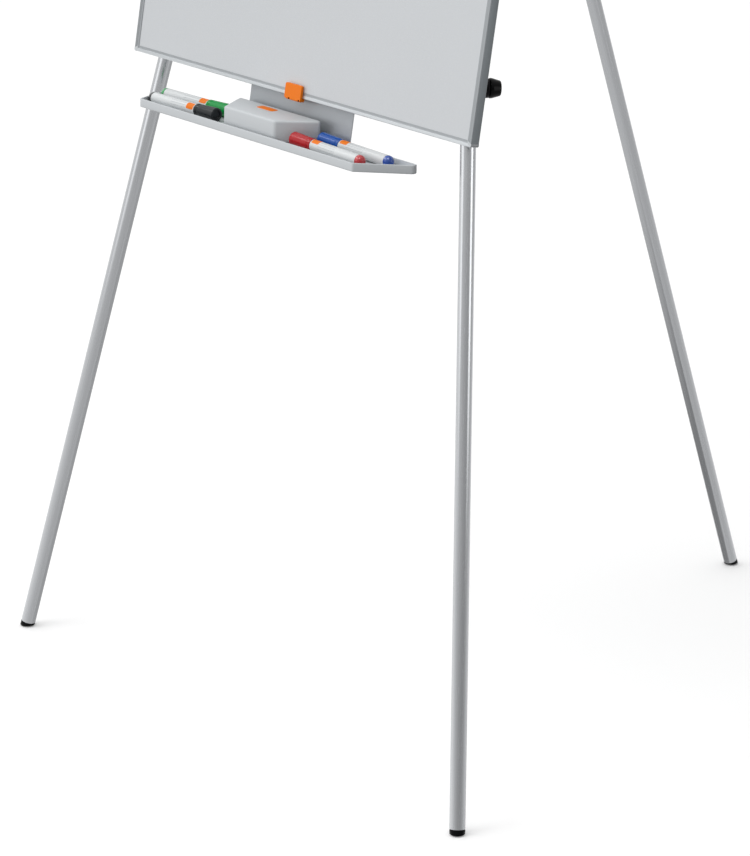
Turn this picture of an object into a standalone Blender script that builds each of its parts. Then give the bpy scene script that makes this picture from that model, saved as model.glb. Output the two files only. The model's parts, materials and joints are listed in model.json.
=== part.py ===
"""Flipchart easel on a telescopic tripod, with a pen tray, an eraser and four board markers.

Metres, +Z up. X runs along the board, +Y points away from the writer. The origin is on the floor,
halfway between the line of the two front feet and the rear foot. The front legs and the board lean
back together, so they are modelled in one tilted frame (x, w, s), which starts on the floor midway
between the front feet: w points backwards out of the board, s runs up the slope.
"""

import math

import bmesh
import bpy
from mathutils import Matrix, Vector

MM = 0.001

# Stance
LEAN = math.radians(10.0)  # front legs and board lean back from the vertical
FOOT_HALF_SPAN = 473 * MM  # front feet, either side of the middle
SPLAY = math.radians(10.49)  # front legs close up towards the top
FOOT_DEPTH = 960 * MM  # rear foot, behind the line of the front feet
REAR_SLOPE = math.radians(18.63)  # rear leg leans forward from the vertical
PIVOT_Z = 1775 * MM  # height of the rear leg's pivot pin

# Telescopic tubes
LOWER_R = 10.2 * MM
LOWER_WALL = 1.2 * MM
UPPER_R = 12.0 * MM
UPPER_WALL = 1.4 * MM
FRONT_JOINT = 943.5 * MM  # middle of the front clamp collars, measured along the leg
REAR_JOINT = 1000 * MM
TUBE_OVERLAP = 126 * MM  # lower tube held inside the upper tube at full height
FRONT_TOP = 1831 * MM  # top end of the front upper tubes, measured along the leg
FOOT_R = 10.3 * MM
FOOT_SOLE_R = 7.0 * MM
FOOT_FLANGE = 6.2 * MM
PLUG_DEPTH = 24 * MM

# Clamp collars and knobs
COLLAR_R = 15.8 * MM
COLLAR_HALF = 24 * MM
COLLAR_EDGE = 1.2 * MM
BOSS_R = 12.6 * MM
BOSS_END = 24.7 * MM  # distance of the boss face from the leg's axis
BOSS_TURN = math.radians(30)  # front bosses point backwards and outwards
KNOB_R = 12.9 * MM
KNOB_END_R = 9.6 * MM
KNOB_LENGTH = 15 * MM
KNOB_SHOULDER = 2.8 * MM
STUD_R = 3.0 * MM
STUD_LENGTH = 9 * MM

# Head
CROSSBAR_HALF = 170 * MM
CROSSBAR_DEPTH = 20 * MM
CROSSBAR_HEIGHT = 30 * MM
CROSSBAR_WALL = 2 * MM
PIN_R = 4.0 * MM
HEAD_R = 11.5 * MM
HEAD_HALF = 13.5 * MM
CHEEK = 2.5 * MM
PIN_HEAD_R = 6.5 * MM
PIN_HEAD_H = 2.0 * MM

# Board
BOARD_W = 700 * MM
BOARD_H = 1000 * MM
BOARD_THICK = 13.5 * MM
BOARD_BOTTOM = 860.6 * MM  # along the slope
BOARD_FRONT = -28.2 * MM  # w of the rails' front faces
RAIL = 8.0 * MM
RAIL_WALL = 1.2 * MM
SHEET = 0.8 * MM

# Board fastenings
CLIP_WALL = 2.0 * MM
CLIP_WIDTH = 26 * MM
CLIP_FLANGE = 16 * MM
CLIP_PLACES = (1035 * MM, 1725 * MM)  # along the leg

# Pad clamp and hooks at the top of the board
HOOK_RAIL_HALF = 320 * MM
HOOK_RAIL_DEPTH = 6 * MM
HOOK_RAIL_H = 20 * MM
HOOK_RAIL_DROP = 21 * MM  # its middle, below the board's top edge
HOOK_X = 232.5 * MM
HOOK_SIZE = (24 * MM, 4 * MM, 17 * MM)
PEG_HALF = 3 * MM
PEG_REACH = 18 * MM
PEG_TIP = 7 * MM
CLAMP_HALF = 300 * MM
CLAMP_DROP = 41 * MM  # its axis, below the board's top edge
CLAMP_STAND_OFF = 7 * MM  # its axis, in front of the board
CLAMP_BARREL_R = 5.5 * MM
CLAMP_BLADE = 34 * MM
CLAMP_BLADE_THICK = 3 * MM
CLAMP_PIN_R = 2.5 * MM
BRACKET_WIDTH = 12 * MM
BRACKET_HEIGHT = 16 * MM

# Pen tray
TRAY_DROP = 53.4 * MM  # below the board's bottom edge
TRAY_TIP = math.radians(7.74)  # down from square to the board
TRAY_FRONT = (-257 * MM, 193.5 * MM)  # left and right ends of the front edge
TRAY_BACK = (-278 * MM, 246 * MM)  # the right end slants more than the left one
TRAY_DEPTH = 65.5 * MM
TRAY_SIDE = 9 * MM
TRAY_WALL_H = 11.5 * MM
TRAY_FLOOR = 2.0 * MM
TRAY_CORNER_R = 5 * MM
PLATE_HALF = 106.4 * MM
PLATE_THICK = 1.8 * MM
PLATE_RISE = 60 * MM  # above the board's bottom edge, behind the board
PLATE_SHELF = 34 * MM  # under the tray

# Eraser
ERASER_FRONT = (-79.5 * MM, 27 * MM)
ERASER_BACK = (-112 * MM, 64 * MM)
ERASER_DEPTH = 52 * MM
ERASER_OFFSET = 7.5 * MM  # from the tray's back face
ERASER_CORNER_R = 3.5 * MM
ERASER_BODY_H = 28.0 * MM
ERASER_FELT_H = 3.2 * MM

# Markers
MARKER_LENGTH = 145 * MM
BARREL_R = 7.75 * MM
CAP_R = 8.5 * MM  # at its mouth
CAP_END_R = 9.6 * MM
CAP_LENGTH = 41.5 * MM
MARKER_HEIGHT = 8.7 * MM  # middle of its axis, above the tray floor
MARKER_TILT = math.radians(0.73)  # it lies on the cap's wide end and on its plug
PLUG_LENGTH = 9.5 * MM
NECK_R = 6.2 * MM
NECK_LENGTH = 18 * MM
NIB_R = 2 * MM
NIB_LENGTH = 4 * MM
CAP_WALL_END = 8 * MM  # solid end of the cap
DOME_STEPS = [math.radians(a) for a in (25, 47, 69, 90)]

# Clip on the bottom rail
RAIL_CLIP_X = (-15.5 * MM, 17.5 * MM)
RAIL_CLIP_BELOW = 5 * MM
RAIL_CLIP_ABOVE = 16.8 * MM
RAIL_CLIP_THICK = 3.6 * MM
RAIL_CLIP_HOOK = 4 * MM
RAIL_CLIP_EDGE = 0.8 * MM

GAP = 0.3 * MM  # clearance between neighbouring pieces
ROUND = 20  # facets round a tube
SMALL_ROUND = 16

BOARD_REAR = BOARD_FRONT + BOARD_THICK
BOARD_TOP = BOARD_BOTTOM + BOARD_H
UPPER_BORE = UPPER_R - UPPER_WALL
LOWER_BORE = LOWER_R - LOWER_WALL

COLOURS = {
    "satin_aluminium": ("A9AEB1", 0.38, 0.9),
    "rail_aluminium": ("C3C8CA", 0.35, 0.85),
    "grey_steel": ("8F9396", 0.45, 0.6),
    "zinc_steel": ("9EA2A5", 0.35, 0.9),
    "board_white": ("CFD3D5", 0.25, 0.0),
    "core_board": ("B9A88A", 0.8, 0.0),
    "light_grey_plastic": ("C9CDCF", 0.45, 0.0),
    "black_plastic": ("151617", 0.3, 0.0),
    "orange_plastic": ("F5821F", 0.4, 0.0),
    "marker_white": ("DADDE0", 0.35, 0.0),
    "ink_black": ("1E2022", 0.35, 0.0),
    "ink_green": ("00934A", 0.35, 0.0),
    "ink_red": ("D2232F", 0.35, 0.0),
    "ink_blue": ("1F4AA8", 0.35, 0.0),
    "grey_felt": ("7C7F82", 0.95, 0.0),
}


def clear_scene():
    for item in list(bpy.data.objects):
        bpy.data.objects.remove(item, do_unlink=True)


def linear(hex_colour):
    """Linear RGBA of an sRGB hex colour."""
    channels = [int(hex_colour[i : i + 2], 16) / 255 for i in (0, 2, 4)]
    values = [c / 12.92 if c <= 0.04045 else ((c + 0.055) / 1.055) ** 2.4 for c in channels]
    return (*values, 1.0)


def make_materials():
    for name, (colour, roughness, metallic) in COLOURS.items():
        material = bpy.data.materials.new(name)
        material.use_nodes = True
        shader = material.node_tree.nodes["Principled BSDF"]
        shader.inputs["Base Color"].default_value = linear(colour)
        shader.inputs["Roughness"].default_value = roughness
        shader.inputs["Metallic"].default_value = metallic
        material.diffuse_color = linear(colour)


def frame_at(name, location, rotation, parent=None):
    """An empty that carries a local frame."""
    empty = bpy.data.objects.new(name, None)
    bpy.context.scene.collection.objects.link(empty)
    empty.parent = parent
    empty.location = location
    empty.rotation_euler = rotation
    return empty


def add_piece(name, mesh_data, material, parent=None, location=(0, 0, 0), rotation=(0, 0, 0)):
    """Links a bmesh as a named, smooth-shaded object and frees the bmesh."""
    bmesh.ops.recalc_face_normals(mesh_data, faces=mesh_data.faces)
    mesh = bpy.data.meshes.new(name)
    mesh_data.to_mesh(mesh)
    mesh_data.free()
    mesh.shade_smooth()
    mesh.set_sharp_from_angle(angle=math.radians(35))
    mesh.materials.append(bpy.data.materials[material])
    piece = bpy.data.objects.new(name, mesh)
    bpy.context.scene.collection.objects.link(piece)
    piece.parent = parent
    piece.location = location
    piece.rotation_euler = rotation
    return piece


def combine(piece, other, operation):
    """Applies a Boolean of two pieces to the first and removes the second."""
    modifier = piece.modifiers.new("combine", "BOOLEAN")
    modifier.operation = operation
    modifier.object = other
    bpy.context.view_layer.update()
    evaluated = piece.evaluated_get(bpy.context.evaluated_depsgraph_get())
    result = bpy.data.meshes.new_from_object(evaluated)
    piece.modifiers.remove(modifier)
    piece.data = result
    bpy.data.objects.remove(other, do_unlink=True)


def ring(radius, z, count=ROUND):
    steps = (math.tau * (i + 0.5) / count for i in range(count))
    return [Vector((radius * math.cos(a), radius * math.sin(a), z)) for a in steps]


def skin(rings, closed=False):
    """Quads between successive rings of equal count. Open stacks are capped, closed ones join up."""
    data = bmesh.new()
    rows = [[data.verts.new(point) for point in points] for points in rings]
    count = len(rows[0])
    pairs = list(zip(rows, rows[1:]))
    if closed:
        pairs.append((rows[-1], rows[0]))
    else:
        data.faces.new(rows[0])
        data.faces.new(rows[-1])
    for low, high in pairs:
        for i in range(count):
            j = (i + 1) % count
            data.faces.new((low[i], low[j], high[j], high[i]))
    return data


def turned(profile, count=ROUND, closed=False):
    """A solid of revolution about Z from (radius, z) pairs."""
    return skin([ring(radius, z, count) for radius, z in profile], closed)


def prism(outline, start, end):
    """A straight extrusion along Z of an outline of (x, y) points."""
    return skin([[Vector((x, y, z)) for x, y in outline] for z in (start, end)])


def block(size, centre, bevel=0.0):
    data = bmesh.new()
    bmesh.ops.create_cube(data, size=1.0)
    place = Matrix.Translation(centre) @ Matrix.Diagonal((*size, 1.0))
    bmesh.ops.transform(data, matrix=place, verts=data.verts)
    if bevel:
        bmesh.ops.bevel(data, geom=data.edges[:], offset=bevel, segments=1, affect="EDGES")
    return data


def arc(centre, radius, start, end, steps):
    """Points on an arc, both ends included, angles in radians."""
    angles = (start + (end - start) * i / steps for i in range(steps + 1))
    return [(centre[0] + radius * math.cos(a), centre[1] + radius * math.sin(a)) for a in angles]


def rounded(corners, radius, steps=3):
    """A convex, counter-clockwise outline with each corner replaced by an arc."""
    points = []
    count = len(corners)
    for i, corner in enumerate(corners):
        here = Vector(corner)
        before = (Vector(corners[i - 1]) - here).normalized()
        after = (Vector(corners[(i + 1) % count]) - here).normalized()
        half = before.angle(after) / 2
        centre = here + (before + after).normalized() * radius / math.sin(half)
        first = math.atan2(-before.x, before.y)
        turn = math.pi - 2 * half
        points += arc(centre, radius, first + math.pi, first + math.pi + turn, steps)
    return points


def shrunk(corners, inset):
    """A convex, counter-clockwise outline moved inwards by a constant distance."""
    result = []
    count = len(corners)
    for i, corner in enumerate(corners):
        here = Vector(corner)
        before = (Vector(corners[i - 1]) - here).normalized()
        after = (Vector(corners[(i + 1) % count]) - here).normalized()
        half = before.angle(after) / 2
        result.append(tuple(here + (before + after).normalized() * inset / math.sin(half)))
    return result


def cylinder_along_x(radius, half, centre, count=SMALL_ROUND):
    data = turned([(radius, -half), (radius, half)], count)
    bmesh.ops.transform(
        data,
        matrix=Matrix.Translation(centre) @ Matrix.Rotation(math.pi / 2, 4, "Y"),
        verts=data.verts,
    )
    return data


# Legs: each is built in a frame whose origin is where its axis meets the floor, Z along the tube.


def floor_ring(radius, height, up):
    """A ring round the leg whose points all lie at one height above the floor."""
    points = ring(radius, 0.0)
    for point in points:
        point.z = (height - point.dot(Vector((up.x, up.y, 0.0)))) / up.z
    return points


def foot(name, leg, up):
    """Plug-in foot: a flat sole on the floor, a rounded flange and a stem inside the tube."""
    rings = [
        floor_ring(FOOT_SOLE_R, 0.0, up),
        floor_ring(FOOT_R - 1.1 * MM, 0.8 * MM, up),
        floor_ring(FOOT_R, 2.6 * MM, up),
        ring(FOOT_R, FOOT_FLANGE),
        ring(LOWER_BORE - GAP, FOOT_FLANGE),
        ring(LOWER_BORE - GAP, FOOT_FLANGE + PLUG_DEPTH),
    ]
    add_piece(name, skin(rings), "black_plastic", leg)


def tube(name, leg, outer, bore, start, end):
    profile = [(outer, start), (outer, end), (bore, end), (bore, start)]
    return add_piece(name, turned(profile, closed=True), "satin_aluminium", leg)


def collar(name, leg, joint, turn):
    """Clamp collar: grips the upper tube's end, lets the lower tube through, boss for the knob."""
    low = joint - COLLAR_HALF
    high = joint + COLLAR_HALF
    step = joint - COLLAR_HALF / 2
    edge = COLLAR_EDGE
    profile = [
        (COLLAR_R - edge, low),
        (COLLAR_R, low + edge),
        (COLLAR_R, high - edge),
        (COLLAR_R - edge, high),
        (UPPER_R + GAP, high),
        (UPPER_R + GAP, step),
        (LOWER_R + GAP, step),
        (LOWER_R + GAP, low),
    ]
    piece = add_piece(name, turned(profile, closed=True), "black_plastic", leg)
    outwards = (-math.pi / 2, 0, turn)
    start = UPPER_R + 2 * GAP
    solid_boss = turned([(BOSS_R, start), (BOSS_R, BOSS_END - edge), (BOSS_R - edge, BOSS_END)])
    boss = add_piece("boss", solid_boss, "black_plastic", leg, (0, 0, joint), outwards)
    combine(piece, boss, "UNION")
    drill = turned([(STUD_R + GAP, start + edge), (STUD_R + GAP, BOSS_END + edge)], SMALL_ROUND)
    bore = add_piece("bore", drill, "black_plastic", leg, (0, 0, joint), outwards)
    combine(piece, bore, "DIFFERENCE")
    piece.name = name


def knob(name, leg, joint, turn):
    """Tapered clamp knob with its stud, turning about an axis square to the leg."""
    edge = 0.8 * MM
    profile = [
        (STUD_R - edge, -STUD_LENGTH),
        (STUD_R, -STUD_LENGTH + edge),
        (STUD_R, 0),
        (KNOB_R - 0.7 * KNOB_SHOULDER, 0),
        (KNOB_R - 0.2 * KNOB_SHOULDER, 0.5 * KNOB_SHOULDER),
        (KNOB_R, KNOB_SHOULDER),
        (KNOB_END_R + edge / 2, KNOB_LENGTH - edge),
        (KNOB_END_R - edge / 2, KNOB_LENGTH),
    ]
    reach = BOSS_END + GAP
    place = (-reach * math.sin(turn), reach * math.cos(turn), joint)
    add_piece(name, turned(profile), "black_plastic", leg, place, (-math.pi / 2, 0, turn))


def telescopic_leg(side, leg, up, joint, top, turn):
    """Foot, lower tube, upper tube, collar and knob of one leg."""
    foot(f"{side}_foot", leg, up)
    sleeve_start = joint - COLLAR_HALF / 2 + GAP
    start = FOOT_FLANGE + GAP
    tube(f"{side}_lower_tube", leg, LOWER_R, LOWER_BORE, start, sleeve_start + TUBE_OVERLAP)
    tube(f"{side}_upper_tube", leg, UPPER_R, UPPER_BORE, sleeve_start, top)
    collar(f"{side}_collar", leg, joint, turn)
    knob(f"{side}_knob", leg, joint, turn)


def tube_clip(name, leg, along):
    """Saddle over a front upper tube, with two flanges on the board's back."""
    inner = UPPER_R + GAP
    outer = inner + CLIP_WALL
    base = BOARD_REAR + GAP
    shelf = base + CLIP_WALL
    reach = outer + CLIP_FLANGE
    outline = [(-reach, base), (-inner, base)]
    outline += arc((0, 0), inner, math.pi, 0, 8)
    outline += [(inner, base), (reach, base), (reach, shelf), (outer, shelf)]
    outline += arc((0, 0), outer, 0, math.pi, 8)
    outline += [(-outer, shelf), (-reach, shelf)]
    half = CLIP_WIDTH / 2
    add_piece(name, prism(outline, along - half, along + half), "zinc_steel", leg)


def front_leg(side, sign, panel):
    leg = frame_at(f"{side}_leg_frame", (sign * FOOT_HALF_SPAN, 0, 0), (0, -sign * SPLAY, 0), panel)
    bpy.context.view_layer.update()
    up = leg.matrix_world.to_3x3().transposed() @ Vector((0, 0, 1))
    telescopic_leg(side, leg, up, FRONT_JOINT, FRONT_TOP, -sign * BOSS_TURN)
    for place, along in zip(("lower", "upper"), CLIP_PLACES):
        tube_clip(f"{side}_{place}_tube_clip", leg, along)
    stem = UPPER_BORE - GAP
    profile = [
        (stem, FRONT_TOP - PLUG_DEPTH),
        (stem, FRONT_TOP + GAP),
        (UPPER_R, FRONT_TOP + GAP),
        (UPPER_R, FRONT_TOP + 2.5 * MM),
        (UPPER_R - 2 * MM, FRONT_TOP + 4 * MM),
    ]
    add_piece(f"{side}_tube_cap", turned(profile), "black_plastic", leg)


def rear_leg():
    leg = frame_at("rear_leg_frame", (0, FOOT_DEPTH / 2, 0), (REAR_SLOPE, 0, 0))
    bpy.context.view_layer.update()
    up = leg.matrix_world.to_3x3().transposed() @ Vector((0, 0, 1))
    pivot = PIVOT_Z / math.cos(REAR_SLOPE)
    tube_top = pivot - HEAD_R - 2.5 * MM
    telescopic_leg("rear", leg, up, REAR_JOINT, tube_top, 0.0)
    body = cylinder_along_x(HEAD_R, HEAD_HALF, (0, 0, pivot), ROUND)
    head = add_piece("rear_leg_head", body, "black_plastic", leg)
    stem = turned([(UPPER_BORE - GAP, tube_top - 2 * PLUG_DEPTH), (UPPER_BORE - GAP, pivot - 4 * MM)])
    combine(head, add_piece("stem", stem, "black_plastic", leg), "UNION")
    hole = cylinder_along_x(PIN_R + GAP, 2 * HEAD_HALF, (0, 0, pivot))
    combine(head, add_piece("hole", hole, "black_plastic", leg), "DIFFERENCE")


# Head: crossbar, clevis and pin, in the tilted frame.


def pivot_in_panel():
    """(w, s) of the rear leg's pivot."""
    y = FOOT_DEPTH - PIVOT_Z * math.tan(REAR_SLOPE)
    w = y * math.cos(LEAN) - PIVOT_Z * math.sin(LEAN)
    s = y * math.sin(LEAN) + PIVOT_Z * math.cos(LEAN)
    return w, s


def crossbar(panel):
    """Rectangular tube across the backs of the two front legs."""
    s = pivot_in_panel()[1]
    middle = UPPER_R + GAP + CROSSBAR_DEPTH / 2
    rings = []
    for inset, ends in ((0.0, (-1, 1)), (CROSSBAR_WALL, (1, -1))):
        half_w = CROSSBAR_DEPTH / 2 - inset
        half_s = CROSSBAR_HEIGHT / 2 - inset
        corners = [(-half_w, -half_s), (half_w, -half_s), (half_w, half_s), (-half_w, half_s)]
        outline = rounded(corners, 2.5 * MM - inset * 0.8, 2)
        for end in ends:
            x = end * CROSSBAR_HALF
            rings.append([Vector((x, middle + a, s + b)) for a, b in outline])
    add_piece("head_crossbar", skin(rings, closed=True), "grey_steel", panel)


def rear_clevis(panel):
    """U-shaped bracket behind the crossbar, and the pin that the rear leg swings on."""
    w, s = pivot_in_panel()
    inner = HEAD_HALF + 2 * GAP
    outer = inner + CHEEK
    base = UPPER_R + CROSSBAR_DEPTH + 2 * GAP
    tip = w + HEAD_R - 2 * MM
    outline = [(-outer, base), (outer, base), (outer, tip), (inner, tip)]
    outline += [(inner, base + CHEEK), (-inner, base + CHEEK), (-inner, tip), (-outer, tip)]
    half = CROSSBAR_HEIGHT / 2
    clevis = add_piece("rear_clevis", prism(outline, s - half, s + half), "zinc_steel", panel)
    hole = cylinder_along_x(PIN_R + GAP, 2 * outer, (0, w, s))
    combine(clevis, add_piece("hole", hole, "zinc_steel", panel), "DIFFERENCE")
    head = outer + GAP
    profile = [
        (PIN_HEAD_R - 0.5 * MM, -head - PIN_HEAD_H),
        (PIN_HEAD_R, -head),
        (PIN_R, -head),
        (PIN_R, head),
        (PIN_HEAD_R, head),
        (PIN_HEAD_R - 0.5 * MM, head + PIN_HEAD_H),
    ]
    pin = turned(profile, SMALL_ROUND)
    add_piece("rear_pivot_pin", pin, "zinc_steel", panel, (0, w, s), (0, math.pi / 2, 0))


# Board, in the tilted frame.


def board_sheets(panel):
    """Enamelled face, core and back sheet, held in the rails' channels."""
    half = BOARD_W / 2 - RAIL_WALL - GAP
    middle = BOARD_BOTTOM + BOARD_H / 2
    height = BOARD_H - 2 * (RAIL_WALL + GAP)
    front = BOARD_FRONT + RAIL_WALL + GAP
    rear = BOARD_REAR - RAIL_WALL - GAP
    layers = (
        ("board_face", front, front + SHEET, "board_white"),
        ("board_core", front + SHEET + GAP, rear - SHEET - GAP, "core_board"),
        ("board_back_sheet", rear - SHEET, rear, "zinc_steel"),
    )
    for name, near, far, material in layers:
        size = (2 * half, far - near, height)
        add_piece(name, block(size, (0, (near + far) / 2, middle)), material, panel)


def rail(name, panel, length, location, turn):
    """Channel-section edge rail, open towards the board's middle, cut square at the corners."""
    lip = RAIL
    thick = RAIL_WALL
    outline = [
        (0, 0),
        (lip, 0),
        (lip, thick),
        (thick, thick),
        (thick, BOARD_THICK - thick),
        (lip, BOARD_THICK - thick),
        (lip, BOARD_THICK),
        (0, BOARD_THICK),
    ]
    data = prism(outline, -length / 2, length / 2)
    place = Matrix.Translation(location) @ Matrix.Rotation(turn, 4, "Y")
    bmesh.ops.transform(data, matrix=place, verts=data.verts)
    add_piece(name, data, "rail_aluminium", panel)


def corner_cap(name, panel, sign_x, sign_s):
    """Rounded square block that closes the frame between two rails."""
    outer_x = sign_x * BOARD_W / 2
    outer_s = BOARD_BOTTOM + BOARD_H / 2 + sign_s * BOARD_H / 2
    side = RAIL - GAP
    radius = 3 * MM
    centre = (outer_x - sign_x * radius, outer_s - sign_s * radius)
    start = math.atan2(sign_s, sign_x) - math.pi / 4
    outline = arc(centre, radius, start, start + math.pi / 2, 3)
    far_x = outer_x - sign_x * side
    far_s = outer_s - sign_s * side
    if sign_x * sign_s > 0:
        outline += [(far_x, outer_s), (far_x, far_s), (outer_x, far_s)]
    else:
        outline += [(outer_x, far_s), (far_x, far_s), (far_x, outer_s)]
    rings = [
        [Vector((x, w, s)) for x, s in outline] for w in (BOARD_FRONT, BOARD_REAR)
    ]
    solid = add_piece(name, skin(rings), "light_grey_plastic", panel)
    inner = side * 2
    notch_front = BOARD_FRONT + RAIL_WALL
    depth = BOARD_THICK - 2 * RAIL_WALL
    size = (inner, depth, inner)
    wall = RAIL_WALL
    centre = (
        outer_x - sign_x * (wall + inner / 2),
        notch_front + depth / 2,
        outer_s - sign_s * (wall + inner / 2),
    )
    combine(solid, add_piece("notch", block(size, centre), "light_grey_plastic", panel), "DIFFERENCE")


def board_frame(panel):
    middle = BOARD_BOTTOM + BOARD_H / 2
    upright = BOARD_H - 2 * RAIL
    across = BOARD_W - 2 * RAIL
    edge = BOARD_W / 2
    rail("left_rail", panel, upright, (-edge, BOARD_FRONT, middle), 0)
    rail("right_rail", panel, upright, (edge, BOARD_FRONT, middle), math.pi)
    rail("bottom_rail", panel, across, (0, BOARD_FRONT, BOARD_BOTTOM), -math.pi / 2)
    rail("top_rail", panel, across, (0, BOARD_FRONT, BOARD_TOP), math.pi / 2)
    for side, sign_x in (("left", -1), ("right", 1)):
        for place, sign_s in (("bottom", -1), ("top", 1)):
            corner_cap(f"{place}_{side}_corner", panel, sign_x, sign_s)


# Pad holder at the top of the board.


def pad_hook(name, panel, x):
    """Sliding block with an upturned peg for the pad's punched hole."""
    s = BOARD_TOP - HOOK_RAIL_DROP
    middle = BOARD_FRONT - 2 * GAP - HOOK_RAIL_DEPTH - HOOK_SIZE[1] / 2
    hook = add_piece(name, block(HOOK_SIZE, (x, middle, s), 0.8 * MM), "black_plastic", panel)
    bend = PEG_REACH - 5 * MM
    outline = [
        (0, -PEG_HALF),
        (0, PEG_HALF),
        (bend, PEG_HALF),
        (bend + 1 * MM, PEG_TIP),
        (PEG_REACH, PEG_TIP),
        (PEG_REACH, -PEG_HALF + 2 * MM),
        (PEG_REACH - 2 * MM, -PEG_HALF),
    ]
    rings = []
    for side in (-1, 1):
        rings.append([Vector((x + side * PEG_HALF, middle - out, s + up)) for out, up in outline])
    combine(hook, add_piece("peg", skin(rings), "black_plastic", panel), "UNION")


def clamp_bar(panel, axis_w, axis_s):
    """Barrel with a flat blade below it, bored from end to end for its pin."""
    half = CLAMP_BLADE_THICK / 2
    low = axis_s - CLAMP_BLADE
    rise = math.asin(half / CLAMP_BARREL_R)
    outline = [(axis_w - half, low), (axis_w + half, low)]
    start = -math.pi / 2 + rise
    outline += arc((axis_w, axis_s), CLAMP_BARREL_R, start, start + math.tau - 2 * rise, 12)
    rings = [[Vector((end * CLAMP_HALF, w, s)) for w, s in outline] for end in (-1, 1)]
    bar = add_piece("clamp_bar", skin(rings), "rail_aluminium", panel)
    centre = (0, axis_w, axis_s)
    bore = cylinder_along_x(CLAMP_PIN_R + GAP, CLAMP_HALF + BRACKET_WIDTH, centre)
    combine(bar, add_piece("bore", bore, "rail_aluminium", panel), "DIFFERENCE")
    pin = cylinder_along_x(CLAMP_PIN_R, CLAMP_HALF + BRACKET_WIDTH, centre)
    add_piece("clamp_pin", pin, "zinc_steel", panel)


def clamp_bracket(name, panel, sign, axis_w, axis_s):
    """Block on the board's face that holds one end of the clamp's pin."""
    depth = BOARD_FRONT - GAP - (axis_w - CLAMP_BARREL_R)
    x = sign * (CLAMP_HALF + 2 * GAP + BRACKET_WIDTH / 2)
    size = (BRACKET_WIDTH, depth, BRACKET_HEIGHT)
    body = block(size, (x, BOARD_FRONT - GAP - depth / 2, axis_s), 1.2 * MM)
    bracket = add_piece(name, body, "black_plastic", panel)
    hole = cylinder_along_x(CLAMP_PIN_R + GAP, BRACKET_WIDTH, (x, axis_w, axis_s))
    combine(bracket, add_piece("hole", hole, "black_plastic", panel), "DIFFERENCE")


def pad_holder(panel):
    size = (2 * HOOK_RAIL_HALF, HOOK_RAIL_DEPTH, HOOK_RAIL_H)
    centre = (0, BOARD_FRONT - GAP - HOOK_RAIL_DEPTH / 2, BOARD_TOP - HOOK_RAIL_DROP)
    add_piece("hook_rail", block(size, centre, 0.8 * MM), "rail_aluminium", panel)
    pad_hook("left_pad_hook", panel, -HOOK_X)
    pad_hook("right_pad_hook", panel, HOOK_X)
    axis_w = BOARD_FRONT - CLAMP_STAND_OFF
    axis_s = BOARD_TOP - CLAMP_DROP
    clamp_bar(panel, axis_w, axis_s)
    clamp_bracket("left_clamp_bracket", panel, -1, axis_w, axis_s)
    clamp_bracket("right_clamp_bracket", panel, 1, axis_w, axis_s)


# Tray, plate and clip. The tray's frame has its origin on its back face, level with its underside,
# and -Y points forwards out of the board.


def tray_to_panel(forward, height):
    """(w, s) of a point that is forward of the tray's back face and above its underside."""
    w = BOARD_REAR - GAP - forward * math.cos(TRAY_TIP) - height * math.sin(TRAY_TIP)
    s = BOARD_BOTTOM - TRAY_DROP - forward * math.sin(TRAY_TIP) + height * math.cos(TRAY_TIP)
    return w, s


def tray_plate(panel):
    """Bent steel plate: screwed to the board's back, its lower flange carries the tray."""
    back = BOARD_REAR + GAP
    knee = tray_to_panel(-GAP, -GAP)
    low = tray_to_panel(-GAP, -GAP - PLATE_THICK)
    tip_top = tray_to_panel(PLATE_SHELF, -GAP)
    tip_low = tray_to_panel(PLATE_SHELF, -GAP - PLATE_THICK)
    top = BOARD_BOTTOM + PLATE_RISE
    outline = [
        (back, top),
        (back, knee[1]),
        tip_top,
        tip_low,
        (back + PLATE_THICK, low[1]),
        (back + PLATE_THICK, top),
    ]
    rings = [[Vector((end * PLATE_HALF, w, s)) for w, s in outline] for end in (-1, 1)]
    add_piece("tray_plate", skin(rings), "grey_steel", panel)


def trapezoid(front, back, depth, side):
    """Counter-clockwise corners of a shape with its back edge on y = 0 and square back ends."""
    corners = [(front[0], -depth), (front[1], -depth)]
    if side:
        return corners + [(back[1], -side), (back[1], 0), (back[0], 0), (back[0], -side)]
    return corners + [(back[1], 0), (back[0], 0)]


def pen_tray(tray):
    corners = trapezoid(TRAY_FRONT, TRAY_BACK, TRAY_DEPTH, TRAY_SIDE)
    levels = (
        (1.5 * MM, 0.0),
        (0.4 * MM, 1.2 * MM),
        (0.0, TRAY_WALL_H),
        (2.2 * MM, TRAY_WALL_H),
        (2.8 * MM, TRAY_FLOOR),
    )
    rings = []
    for inset, height in levels:
        outline = rounded(shrunk(corners, inset), TRAY_CORNER_R - inset)
        rings.append([Vector((x, y, height)) for x, y in outline])
    add_piece("pen_tray", skin(rings), "light_grey_plastic", tray)


def eraser(tray):
    corners = trapezoid(ERASER_FRONT, ERASER_BACK, ERASER_DEPTH, 0)
    felt_base = TRAY_FLOOR + GAP
    body_base = felt_base + ERASER_FELT_H + GAP
    body_levels = (
        (0.0, body_base),
        (0.0, body_base + ERASER_BODY_H - 2 * MM),
        (0.6 * MM, body_base + ERASER_BODY_H - 0.6 * MM),
        (2.0 * MM, body_base + ERASER_BODY_H),
    )
    felt_levels = ((1.0 * MM, felt_base), (1.0 * MM, felt_base + ERASER_FELT_H))
    for name, levels, material in (
        ("eraser_body", body_levels, "light_grey_plastic"),
        ("eraser_felt", felt_levels, "grey_felt"),
    ):
        rings = []
        for inset, height in levels:
            outline = rounded(shrunk(corners, inset), ERASER_CORNER_R - inset)
            rings.append([Vector((x, y - ERASER_OFFSET, height)) for x, y in outline])
        add_piece(name, skin(rings), material, tray)


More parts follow.
